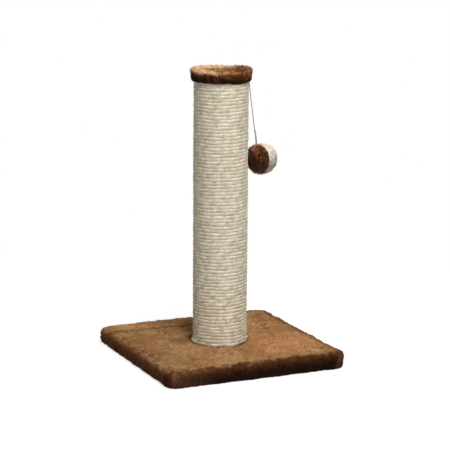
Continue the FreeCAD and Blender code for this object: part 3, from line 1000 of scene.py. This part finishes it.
@dataclass
class Base:
    """The plush that covers the square foot board, with its hem folded under."""

    half: float = 150 * MM
    top: float = 26 * MM
    corner: float = 15 * MM
    edge: float = 8.0 * MM
    backing: float = 1.5 * MM
    squares: int = 196
    foot: float = 43.85 * MM
    foot_level: float = 22.4 * MM
    hem: float = 34 * MM
    lump: float = 1.2 * MM
    crease: float = 94.5 * MM
    crease_end: float = 20 * MM
    crease_depth: float = 1.5 * MM
    bunch: float = 2.2 * MM
    bunch_spot: float = 143 * MM
    floor_gap: float = 0.1 * MM
    pulled: float = 1.0 * MM

    def build(self) -> bpy.types.Object:
        """Builds the cover.

        Returns:
            The piece.
        """
        wrap = Wrap(
            flat=self.half - self.edge - self.backing * 0.5,
            top_round=self.edge - self.backing * 0.5,
            wall=self.top - self.edge - self.backing - 3 * MM,
            low_round=3 * MM,
            top=self.top - self.backing,
            corner=self.corner,
        )
        bm = wrap.sheet(self.squares)
        backing = list(bm.faces)
        self._settle(bm)
        self._fold_hem(bm)
        pile = Pile(length=2.7 * MM, spread=1.0 * MM, lean=Vector((0.5, -0.6, -0.25)), clump=11 * MM,
                    gather=0.12, seed=11)
        pile.raise_tufts(bm, backing, self._trim, 0.3 * MM)
        close_up(bm)
        cover = make_piece("base_plush", bm, BasePlush().make(), Body.POST)
        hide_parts("base_plush_cover")
        return cover

    def _settle(self, bm: bmesh.types.BMesh) -> None:
        """Gives the backing its lumps, crease and bunched corner, and presses it down under the post.

        Args:
            bm: the backing.
        """
        bm.normal_update()
        for vert in bm.verts:
            place = vert.co.copy()
            swell = noise.noise(place / (34 * MM)) * 0.9 + noise.noise(place / (13 * MM)) * 0.9
            vert.co = place + vert.normal * swell * self.lump
            if place.z > self.top * 0.7 and place.x < self.crease_end:
                from_crease = place.y + place.x * CREASE_SLANT - self.crease
                vert.co.z -= self.crease_depth * bell(from_crease, 5 * MM)
            if place.z > self.top * 0.6:
                from_bunch = math.hypot(place.x - self.bunch_spot, place.y + self.bunch_spot)
                vert.co.z += self.bunch * bell(from_bunch, 22 * MM)
            if place.z > self.top * 0.7:
                away = math.hypot(place.x, place.y)
                press = 1 / (1 + math.exp((away - self.foot - 2 * MM) / (1.3 * MM)))
                vert.co.z += (self.foot_level - vert.co.z) * press
            vert.co.z = max(vert.co.z, self.floor_gap)

    def _trim(self, place: Vector) -> float:
        """The pile is flat under the post and short near the floor.

        Args:
            place: where the pile stands.

        Returns:
            Its length there, as a share of its full length.
        """
        away = math.hypot(place.x, place.y)
        if away < self.foot + 1 * MM and place.z > self.top * 0.7:
            return 0.15
        return 0.4 + 0.6 * min(1.0, place.z / (6 * MM))

    def _fold_hem(self, bm: bmesh.types.BMesh) -> None:
        """Runs the sheet's edge in under the board, where the staples pull it up, and closes it there.

        Args:
            bm: the cover.
        """
        rings = (
            (9 * MM, self.floor_gap),
            (13 * MM, self.pulled),
            (self.hem, self.pulled),
            (self.hem, 3.2 * MM),
        )
        for inward, level in rings:
            limit = self.half - inward
            turn_in(bm, level, lambda place: min(1.0, limit / max(abs(place.x), abs(place.y))))
        fill_ends(bm)


@dataclass
class Cap:
    """The padded plush cap on top of the post."""

    radius: float = 47.0 * MM
    top: float = 459.6 * MM
    bottom: float = 442.0 * MM
    edge: float = 5.0 * MM
    backing: float = 1.0 * MM
    low_edge: float = 2.6 * MM
    squares: int = 92
    neck: float = 43 * MM
    side_lift: float = 3.0 * MM
    side_swell: float = 1.6 * MM
    sink: float = 3.0 * MM

    def build(self) -> bpy.types.Object:
        """Builds the cover.

        Returns:
            The piece.
        """
        wrap = Wrap(
            flat=self.radius - self.edge - self.backing * 0.5,
            top_round=self.edge - self.backing * 0.5,
            wall=self.top - self.bottom - self.edge - self.backing - self.low_edge,
            low_round=self.low_edge,
            top=self.top - self.backing,
        )
        bm = wrap.sheet(self.squares)
        backing = list(bm.faces)
        self._settle(bm)
        self._tuck(bm)
        pile = Pile(length=3.6 * MM, spread=1.4 * MM, lean=Vector((0.3, -0.3, -0.5)), clump=8 * MM,
                    gather=0.3, seed=23)
        pile.raise_tufts(bm, backing, self._trim)
        close_up(bm)
        cover = make_piece("cap_plush", bm, CapPlush().make(), Body.POST)
        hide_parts("cap_plush_cover")
        return cover

    def _settle(self, bm: bmesh.types.BMesh) -> None:
        """Makes the padding uneven, raises its rim, and clears the way of the swinging loop.

        Args:
            bm: the backing.
        """
        bm.normal_update()
        for vert in bm.verts:
            place = vert.co.copy()
            swell = noise.noise(place / (19 * MM)) * 0.8 + noise.noise(place / (8 * MM)) * 0.8
            if place.z < self.top - 4 * MM:
                swell = max(swell, 0.0)
            lift = min(1.0, max(0.0, (place.z - self.bottom) / (9 * MM)))
            vert.co = place + vert.normal * swell * MM * lift
            away = math.hypot(place.x, place.y)
            beside = self._by_hanger(place)
            if away > 40 * MM and place.z < self.top - 5 * MM:
                vert.co += Vector((place.x, place.y, 0.0)) / away * self.side_swell * beside
            if place.z < self.bottom + 4 * MM:
                vert.co.z += self.side_lift * beside
            if place.z > self.top - 7 * MM:
                turn = math.atan2(place.y, place.x) - math.radians(VIEW_ANGLE)
                raised = 4.2 * math.cos(turn) ** 2 + 0.8 + 1.8 * max(0.0, math.sin(turn)) ** 2
                vert.co.z += raised * MM * bell(away - self.radius + 4 * MM, 9 * MM) - self.sink

    def _trim(self, place: Vector) -> float:
        """The pile is long on top, shorter down the side, and shortest at the lower edge.

        Args:
            place: where the pile stands.

        Returns:
            Its length there, as a share of its full length.
        """
        height = (place.z - self.bottom) / (self.top - self.bottom)
        low = 0.30 if height > 0.4 else 0.30 - 0.25 * self._by_hanger(place)
        long = 0.70 if place.z > self.top - 3 * MM else 0.28
        return low + long * min(1.0, max(0.0, height * 1.2))

    def _by_hanger(self, place: Vector) -> float:
        """How close a place is to the cord's staple, from 0 to 1."""
        return bell(math.degrees(math.atan2(place.y, place.x)) - HANGER_ANGLE, 9.0, 4)

    def _tuck(self, bm: bmesh.types.BMesh) -> None:
        """Gathers the edge in under the cap board and closes it there.

        Args:
            bm: the cover.
        """
        inner = (self.neck - 3 * MM, self.bottom + self.low_edge)
        for radius, level in ((self.neck, self.bottom), inner):
            turn_in(bm, level, lambda place: radius / math.hypot(place.x, place.y))
        fill_ends(bm)


@dataclass
class SisalWinding:
    """The rope, one turn after another from the foot to the cap, and the fibres that stand off it."""

    coil: float = 41.075 * MM
    rope: float = 3.35 * MM
    plain: float = 2.475 * MM
    squash: float = 0.41
    pitch: float = 5.4 * MM
    top_level: float = 442.7 * MM
    top_angle: float = -92.5
    turns: float = 77.5
    steps: int = 256
    sides: int = 12
    lay: float = 17 * MM
    wave: float = 1.0 * MM
    sway: float = 0.75 * MM
    pieces: int = 3
    fibres: int = 420
    fuzz: int = 8000
    batches: int = 20
    fibre_root: float = 1.9 * MM

    def build(self) -> list[bpy.types.Object]:
        """Builds the rope in a few lengths, and its loose fibres.

        Returns:
            The lengths and the fibres.
        """
        material = Sisal().make()
        made = []
        full = int(self.turns)
        share = -(-full // self.pieces)
        for index in range(self.pieces):
            first = index * share
            last = min(first + share, full)
            bm = self._wind(first, last, self.turns - full if last == full else 0.0)
            self._twist(bm)
            made.append(make_piece(f"sisal_rope_{index + 1}", bm, material, Body.POST))
        for length in made:
            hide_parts("sisal_winding_lower", "sisal_winding_upper")
        made.append(self._fibres())
        return made

    def _start(self) -> tuple[float, float]:
        """The angle and the level at which the rope's lower end lies."""
        angle = math.radians(self.top_angle) - self.turns * math.tau
        return math.atan2(math.sin(angle), math.cos(angle)), self.top_level - self.turns * self.pitch

    def _turn(self, steps: int) -> bpy.types.Mesh:
        """Screws a ring of the rope round the post.

        Args:
            steps: how many steps it takes, out of the steps of a full turn.

        Returns:
            The mesh, from the rope's lower end.
        """
        angle, level = self._start()
        bm = bmesh.new()
        stand = Matrix.Rotation(angle, 4, "Z") @ Matrix.Translation((self.coil, 0, level))
        stand = stand @ Matrix.Rotation(math.pi / 2, 4, "X")
        bmesh.ops.create_circle(bm, cap_ends=False, segments=self.sides, radius=self.plain, matrix=stand)
        bmesh.ops.spin(bm, geom=bm.verts[:] + bm.edges[:], cent=(0, 0, 0), axis=(0, 0, 1),
                       dvec=(0, 0, self.pitch / self.steps), angle=math.tau * steps / self.steps,
                       steps=steps, use_merge=False, use_duplicate=False)
        return save_mesh("rope_turn", bm)

    def _wind(self, first: int, last: int, rest: float) -> bmesh.types.BMesh:
        """Lays whole turns on each other and ends with a part of one.

        Args:
            first: the first turn, counted from the foot.
            last: the turn after the last whole one.
            rest: the share of a turn that follows.

        Returns:
            The rope's plain round length, closed at both ends.
        """
        bm = bmesh.new()
        turn = self._turn(self.steps)
        turn.transform(Matrix.Translation((0, 0, first * self.pitch)))
        for _ in range(first, last):
            bm.from_mesh(turn)
            turn.transform(Matrix.Translation((0, 0, self.pitch)))
        bpy.data.meshes.remove(turn)
        if rest > 0:
            part = self._turn(round(rest * self.steps))
            part.transform(Matrix.Translation((0, 0, last * self.pitch)))
            bm.from_mesh(part)
            bpy.data.meshes.remove(part)
        bmesh.ops.remove_doubles(bm, verts=bm.verts, dist=1e-5)
        fill_ends(bm)
        bmesh.ops.recalc_face_normals(bm, faces=bm.faces)
        return bm

    def _twist(self, bm: bmesh.types.BMesh) -> None:
        """Gives the round length its three strands, its uneven hand and its loose foot.

        Args:
            bm: the rope's length.
        """
        names = ("along", "around", "lobe", "outer")
        notes = [bm.verts.layers.float.new(name) for name in names]
        start_angle, start_level = self._start()
        for vert in bm.verts:
            angle = math.atan2(vert.co.y, vert.co.x)
            lead = (angle - start_angle) / math.tau
            turn = round((vert.co.z - start_level) / self.pitch - lead) + lead
            centre = start_level + self.pitch * turn
            section = math.atan2(vert.co.z - centre, math.hypot(vert.co.x, vert.co.y) - self.coil)
            walked = turn * math.tau * self.coil
            strand = section - math.tau * walked / self.lay
            lobe = abs(math.cos(1.5 * strand))
            uneven = noise.noise(Vector((walked / (23 * MM), 3.7, 0.0)))
            fuzz = noise.noise(Vector((walked / (2.2 * MM), strand * 1.3, 9.1)))
            radius = self.rope * (0.76 + 0.24 * lobe ** 0.8) * (1 + 0.07 * uneven + 0.10 * fuzz)
            bulge = self._ripple(angle, turn, 3.1, 1.9)
            pressed = self._pressed(angle, centre)
            out = self.coil + (0.45 + 0.45 * bulge) * MM * (1 - pressed) + self._flare(angle, turn)
            rise = self.wave * self._ripple(angle, turn, 1.7, 0.21)
            rise += self.sway * self._ripple(angle, turn, 5.0, 0.8)
            reach = out + radius * math.cos(section) * self.squash
            level = centre + rise + radius * math.sin(section)
            vert.co = Vector((reach * math.cos(angle), reach * math.sin(angle), level))
            for note, value in zip(notes, (walked, strand / math.tau, lobe, math.cos(section))):
                vert[note] = value

    @staticmethod
    def _ripple(angle: float, turn: float, around: float, up: float) -> float:
        """Noise over the winding, the finer the larger its two scales are."""
        return noise.noise(Vector((math.cos(angle) * around, math.sin(angle) * around, turn * up)))

    @staticmethod
    def _pressed(angle: float, level: float) -> float:
        """How close a place on the rope is to where the ball leans, from 0 to 1."""
        facing = max(0.0, math.cos(angle - math.radians(HANGER_ANGLE)))
        return facing ** 16 * bell(level - BALL_LEVEL, 26 * MM, 4)

    @staticmethod
    def _flare(angle: float, turn: float) -> float:
        """How far the lowest turn stands off, most on the side away from the ball."""
        facing = max(0.0, math.cos(angle - math.radians(158)))
        return 3.2 * MM * facing ** 3 * math.exp(-max(turn, 0.0) / 0.7)

    def _fibres(self) -> bpy.types.Object:
        """Scatters loose fibres: most lie flat across the turns, and some stand off the rope.

        Returns:
            The fibres, as one piece.
        """
        dice = random.Random(5)
        whole = bmesh.new()
        for _ in range(self.batches):
            bm = bmesh.new()
            for _ in range(self.fuzz // self.batches):
                self._lay_fibre(bm, dice, dice.uniform(3.0, 7.0) * MM, dice.uniform(80, 92),
                                dice.gauss(0, 36), dice.uniform(0.10, 0.20) * MM)
            for _ in range(self.fibres // self.batches):
                self._lay_fibre(bm, dice, dice.uniform(2.5, 9.0) * MM, dice.uniform(50, 84),
                                dice.uniform(0, 360), dice.uniform(0.07, 0.13) * MM)
            batch = save_mesh("fibre_batch", bm)
            whole.from_mesh(batch)
            bpy.data.meshes.remove(batch)
        bmesh.ops.recalc_face_normals(whole, faces=whole.faces)
        return make_piece("sisal_stray_fibres", whole, SisalFibre().make(), Body.POST)

    def _lay_fibre(self, bm: bmesh.types.BMesh, dice: random.Random, length: float, tilt: float,
                   turn: float, thick: float) -> None:
        """Adds one fibre somewhere on the winding.

        Args:
            bm: where it goes.
            dice: chooses the place.
            length: its length.
            tilt: degrees between it and the line straight out of the post.
            turn: degrees between it and the run of the rope.
            thick: its radius at the root.
        """
        start_level = self._start()[1]
        angle = dice.uniform(0, math.tau)
        level = dice.uniform(start_level + self.pitch, self.top_level - self.pitch)
        if self._pressed(angle, level) > 0.04:
            angle += math.pi
        root = Matrix.Translation((self.coil + self.fibre_root, 0, level))
        outward = Matrix.Rotation(angle, 4, "Z") @ root
        swing = Matrix.Rotation(math.radians(90 + turn), 4, "X")
        lie = Matrix.Rotation(math.radians(tilt), 4, "Y") @ Matrix.Rotation(math.pi / 2, 4, "Y")
        quill = outward @ swing @ lie @ Matrix.Translation((0, 0, length / 2))
        bmesh.ops.create_cone(bm, cap_ends=True, cap_tris=True, segments=3, radius1=thick,
                              radius2=thick * 0.3, depth=length, matrix=quill)


@dataclass
class Ball:
    """The plush ball, sewn from a brown and a cream half."""

    centre: Vector
    radius: float = 24.5 * MM
    backing: float = 1.7 * MM
    pile: float = 2.2 * MM
    seam_angle: float = 196.0
    seam_shift: float = 4.2 * MM
    seam_gap: float = 0.05 * MM
    pinch: float = 0.6 * MM
    detail: int = 5

    def build(self) -> list[bpy.types.Object]:
        """Builds the two halves and the thread between them.

        Returns:
            The three pieces.
        """
        brown = BallPlush("ball_brown_plush", shade(140, 84, 48), shade(92, 52, 28),
                          shade(128, 86, 58), shade(184, 138, 108), 1.1)
        cream = BallPlush("ball_cream_plush", shade(248, 240, 226), shade(240, 224, 204),
                          shade(248, 228, 204), shade(246, 236, 222), 0.2)
        return [
            self._half("ball_brown_half", brown, "toy_brown_half", 1.0, 1.8, 31),
            self._half("ball_cream_half", cream, "toy_cream_half", -1.0, 1.0, 32),
            self._thread(),
        ]

    def _seam(self) -> tuple[Vector, Vector]:
        """Finds where the seam runs.

        Returns:
            Its middle, from the ball's centre, and the way to its brown side.
        """
        facing = math.radians(self.seam_angle)
        normal = Vector((math.cos(facing), math.sin(facing), 0.0))
        return normal * self.seam_shift, normal

    def _half(self, name: str, finish: BallPlush, node: str, way: float, length: float,
              seed: int) -> bpy.types.Object:
        """Builds one half.

        Args:
            name: the piece's name.
            finish: its plush.
            node: the solid it stands for.
            way: 1 for the side that the seam's normal points to, -1 for the other.
            length: how many times the ball's usual pile its own is.
            seed: the seed of its pile.

        Returns:
            The piece.
        """
        middle, normal = self._seam()
        normal = normal * way
        bm = bmesh.new()
        bmesh.ops.create_icosphere(bm, subdivisions=self.detail, radius=self.radius - self.backing)
        parts = bm.verts[:] + bm.edges[:] + bm.faces[:]
        bmesh.ops.bisect_plane(bm, geom=parts, dist=1e-6, plane_co=middle + normal * self.seam_gap,
                               plane_no=normal, clear_inner=True)
        for vert in bm.verts:
            from_seam = (vert.co - middle).dot(normal)
            pinch = self.pinch * bell(from_seam, 1.6 * MM)
            swell = noise.noise(vert.co / (11 * MM) + Vector((seed, 0, 0))) * 1.1 * MM - 0.4 * MM
            swell += noise.noise(vert.co / (5 * MM) + Vector((seed, 9, 0))) * 0.9 * MM
            vert.co = vert.co.normalized() * (vert.co.length - pinch + swell)
        backing = list(bm.faces)
        fill_ends(bm)
        bmesh.ops.recalc_face_normals(bm, faces=bm.faces)
        pile = Pile(length=self.pile * length, spread=0.8 * MM, lean=Vector((0.0, 0.0, -0.5)),
                    clump=4.2 * MM, gather=0.45, seed=seed)
        trim = lambda root: min(1.0, 0.35 + abs((root - middle).dot(normal)) / (5 * MM))
        pile.raise_tufts(bm, backing, trim, limit=self.radius - 0.1 * MM)
        bmesh.ops.translate(bm, verts=bm.verts, vec=self.centre)
        close_up(bm)
        half = make_piece(name, bm, finish.make(), Body.BALL)
        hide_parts(node)
        return half

    def _thread(self) -> bpy.types.Object:
        """Runs the thread round the seam, and leaves its two short ends at the top.

        Returns:
            The piece.
        """
        middle, normal = self._seam()
        bm = bmesh.new()
        reach = self.radius - self.backing - 0.9 * MM
        seam = self.centre + middle
        lie = Matrix.Translation(seam) @ normal.to_track_quat("Z", "Y").to_matrix().to_4x4()
        add_ring(bm, lie, reach, 0.35 * MM, 96)
        for turn, tilt in ((20, 30), (150, 42)):
            aim = Matrix.Rotation(math.radians(turn), 4, "Z")
            aim = aim @ Matrix.Rotation(math.radians(tilt), 4, "X")
            end = Matrix.Translation(seam + Vector((0, 0, reach))) @ aim
            bmesh.ops.create_cone(bm, cap_ends=True, segments=6, radius1=0.4 * MM, radius2=0.3 * MM,
                                  depth=4.4 * MM, matrix=end @ Matrix.Translation((0, 0, 1.8 * MM)))
        close_up(bm)
        finish = Twine("ball_thread", shade(178, 172, 160))
        thread = make_piece("ball_seam_thread", bm, finish.make(), Body.BALL)
        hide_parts("toy_seam_thread")
        return thread


@dataclass
class ToyCord:
    """The cord that the ball hangs on, with its knot."""

    exit: Vector
    knot: Vector
    diameter: float = 1.6 * MM
    tail: float = 22 * MM
    knot_turn: float = 1.15 * MM

    def build(self) -> list[bpy.types.Object]:
        """Builds the cord and the knot.

        Returns:
            The two pieces.
        """
        material = Twine("grey_cord", CORD_GREY).make()
        knot = self._knot(material)
        return [self._cord(material), knot]

    def _cord(self, material: bpy.types.Material) -> bpy.types.Object:
        """Runs the cord from under the cap to the knot.

        Args:
            material: its finish.

        Returns:
            The piece.
        """
        run = self.knot - self.exit
        near = run.normalized() * self.diameter * 6
        points = (self.exit, self.exit + near, self.knot - near, self.knot)
        curve = bpy.data.curves.new("toy_string", "CURVE")
        curve.dimensions = "3D"
        spline = curve.splines.new("NURBS")
        spline.points.add(len(points) - 1)
        for point, place in zip(spline.points, points):
            point.co = (place.x, place.y, place.z, 1.0)
        spline.order_u = 3
        spline.use_endpoint_u = True
        curve.resolution_u = 12
        curve.bevel_depth = self.diameter / 2
        curve.bevel_resolution = 3
        curve.use_fill_caps = True
        curve.materials.append(material)
        cord = put("toy_string", curve)
        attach(cord, Body.HANGER.value)
        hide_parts("toy_cord")
        return cord

    def _knot(self, material: bpy.types.Material) -> bpy.types.Object:
        """Ties the knot: three turns of cord about each other, and a tail that lies beside the cord.

        Args:
            material: its finish.

        Returns:
            The piece.
        """
        bm = bmesh.new()
        place = Matrix.Translation(self.knot)
        tip = Matrix.Rotation(math.radians(62), 4, "X")
        for index in range(3):
            lie = place @ Matrix.Rotation(math.tau * index / 3, 4, "Z") @ tip
            add_ring(bm, lie, self.knot_turn, self.diameter * 0.45, 18)
        run = (self.exit - self.knot).normalized()
        beside = Vector((0.9, -0.4, 0.0)) * self.diameter * 0.8
        aim = run.to_track_quat("Z", "Y").to_matrix().to_4x4()
        tail = Matrix.Translation(self.knot + beside + run * self.tail / 2) @ aim
        bmesh.ops.create_cone(bm, cap_ends=True, segments=8, radius1=self.diameter * 0.45,
                              radius2=self.diameter * 0.3, depth=self.tail, matrix=tail)
        close_up(bm)
        knot = make_piece("toy_string_knot", bm, material, Body.HANGER)
        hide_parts("toy_cord_knot")
        return knot


class Hardware:
    """The boards, tube, plugs and fasteners, which keep their solids and get their finishes."""

    def dress(self) -> None:
        """Puts a finish on every solid that stays in view."""
        pressed = (shade(196, 164, 118), shade(150, 112, 70))
        card = (shade(176, 142, 100), shade(150, 116, 78))
        wood = (shade(206, 172, 122), shade(176, 136, 88))
        fill = (shade(236, 234, 228), shade(214, 212, 206))
        self._coat(Chips("particle_board", *pressed, 2.2 * MM, (1.0, 0.6, 1.6)), "base_board",
                   "cap_board")
        self._coat(Chips("tube_card", *card, 5 * MM, (1.0, 1.0, 0.4)), "post_tube")
        self._coat(Chips("plug_wood", *wood, 2.5 * MM, (0.25, 2.0, 1.0)), "lower_plug", "upper_plug")
        self._coat(Chips("stuffing", *fill, 4 * MM, (1.0, 1.0, 1.0), 0.95), "toy_core")
        self._coat(Steel("zinc_steel", shade(196, 198, 200), 0.35), "base_bolt", "base_washer",
                   "lower_tee_nut", "lower_plug_nails", "upper_plug_nails", "cap_screws", "rope_end_tacks")
        self._coat(Steel("staple_wire", shade(204, 204, 206), 0.3), "base_cover_staples",
                   "cap_cover_staples", "toy_cord_staple")
        self._coat(Twine("loop_cord", CORD_GREY), "toy_cord_loop")

    @staticmethod
    def _coat(finish: Chips | Steel | Twine, *nodes: str) -> None:
        """Puts one finish on some solids.

        Args:
            finish: the finish.
            nodes: the names of the solids.
        """
        material = finish.make()
        for name in nodes:
            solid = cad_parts[name]
            solid.data.materials.clear()
            solid.data.materials.append(material)
            WORKBENCH.info("%s: solid kept, finish %s", name, material.name)


@dataclass
class Studio:
    """The white floor, the soft lamps and the camera."""

    focal: float = 146.27
    sensor: float = 36.0
    azimuth: float = -24.525
    elevation: float = 11.98
    distance: float = 2.88776
    roll: float = 0.403
    aim_side: float = 0.007351
    aim_level: float = 0.212351

    def build(self) -> None:
        """Sets up everything that isn't part of the post."""
        self._camera()
        self._floor()
        self._world()
        back, right, up = self._axes()
        middle = Vector((0, 0, 0.22))
        self._lamp("key_lamp", middle + right * 0.72 + back * 2.1 + up * 1.9, 1.4, 80.0)
        self._lamp("top_lamp", middle + right * 0.2 + up * 2.4, 1.8, 12.0)
        bpy.context.scene.view_settings.view_transform = "Standard"

    def _axes(self) -> tuple[Vector, Vector, Vector]:
        """Finds the camera's own directions, before its roll.

        Returns:
            Backwards, right and up.
        """
        turn = math.radians(self.azimuth)
        tilt = math.radians(self.elevation)
        level = math.cos(tilt)
        back = Vector((math.sin(turn) * level, -math.cos(turn) * level, math.sin(tilt)))
        right = Vector((math.cos(turn), math.sin(turn), 0.0))
        return back, right, back.cross(right)

    def _camera(self) -> None:
        """Places the camera."""
        back, right, up = self._axes()
        target = right * self.aim_side + Vector((0, 0, self.aim_level))
        roll = math.radians(self.roll)
        side = right * math.cos(roll) + up * math.sin(roll)
        head = up * math.cos(roll) - right * math.sin(roll)
        lens = bpy.data.cameras.new("camera")
        lens.lens = self.focal
        lens.sensor_width = self.sensor
        lens.clip_end = 50
        pose = Matrix((side, head, back)).transposed().to_4x4()
        pose.translation = target + back * self.distance
        camera = put("camera", lens)
        camera.matrix_world = pose
        bpy.context.scene.camera = camera

    def _lamp(self, name: str, place: Vector, size: float, power: float) -> None:
        """Hangs one square soft lamp that looks at the post.

        Args:
            name: its name.
            place: where it hangs.
            size: its width in metres.
            power: its power in watts.
        """
        lamp = bpy.data.lights.new(name, "AREA")
        lamp.size = size
        lamp.energy = power
        holder = put(name, lamp)
        holder.location = place
        holder.rotation_euler = (Vector((0, 0, 0.2)) - place).to_track_quat("-Z", "Y").to_euler()

    @staticmethod
    def _floor() -> None:
        """Lays a white floor that keeps the post's shadow near it and is plain white further out."""
        bm = bmesh.new()
        bmesh.ops.create_grid(bm, x_segments=1, y_segments=1, size=12.0)
        mesh = save_mesh("floor", bm)
        floor = put("floor", mesh)
        paint = Paint("white_floor")
        seen = paint.seen()
        far = paint.smooth(paint.length(paint.place()), 0.45, 0.85)
        matt = paint.out(paint.node("ShaderNodeBsdfDiffuse", None, {0: shade(170, 170, 170)}))
        near_floor = paint.node("ShaderNodeAddShader", None, {0: matt, 1: paint.glow(seen * 0.74)})
        shaders = {0: far, 1: paint.out(near_floor), 2: paint.glow(seen * 0.6 + 0.4)}
        mesh.materials.append(paint.close(paint.out(paint.node("ShaderNodeMixShader", None, shaders))))

    @staticmethod
    def _world() -> None:
        """Surrounds the post with white, dimmer for the light that falls on it than for what is seen."""
        paint = Paint("white_room", world=True)
        glow = paint.glow(0.22 + paint.seen() * 0.78, "ShaderNodeBackground")
        bpy.context.scene.world = paint.close(glow, "ShaderNodeOutputWorld")


def main() -> None:
    """Builds the studio first, then the post from its foot to its toy."""
    logging.basicConfig(level=logging.INFO)
    Studio().build()
    cord = ToyCord(
        exit=Vector((0.045379, -0.005170, 0.437361)),
        knot=Vector((0.057965, -0.006604, 0.34004)),
    )
    cord.build()
    Hardware().dress()
    Base().build()
    SisalWinding().build()
    Cap().build()
    Ball(centre=Vector((0.067911, -0.007737, 0.3155))).build()


if __name__ == "__main__":
    main()
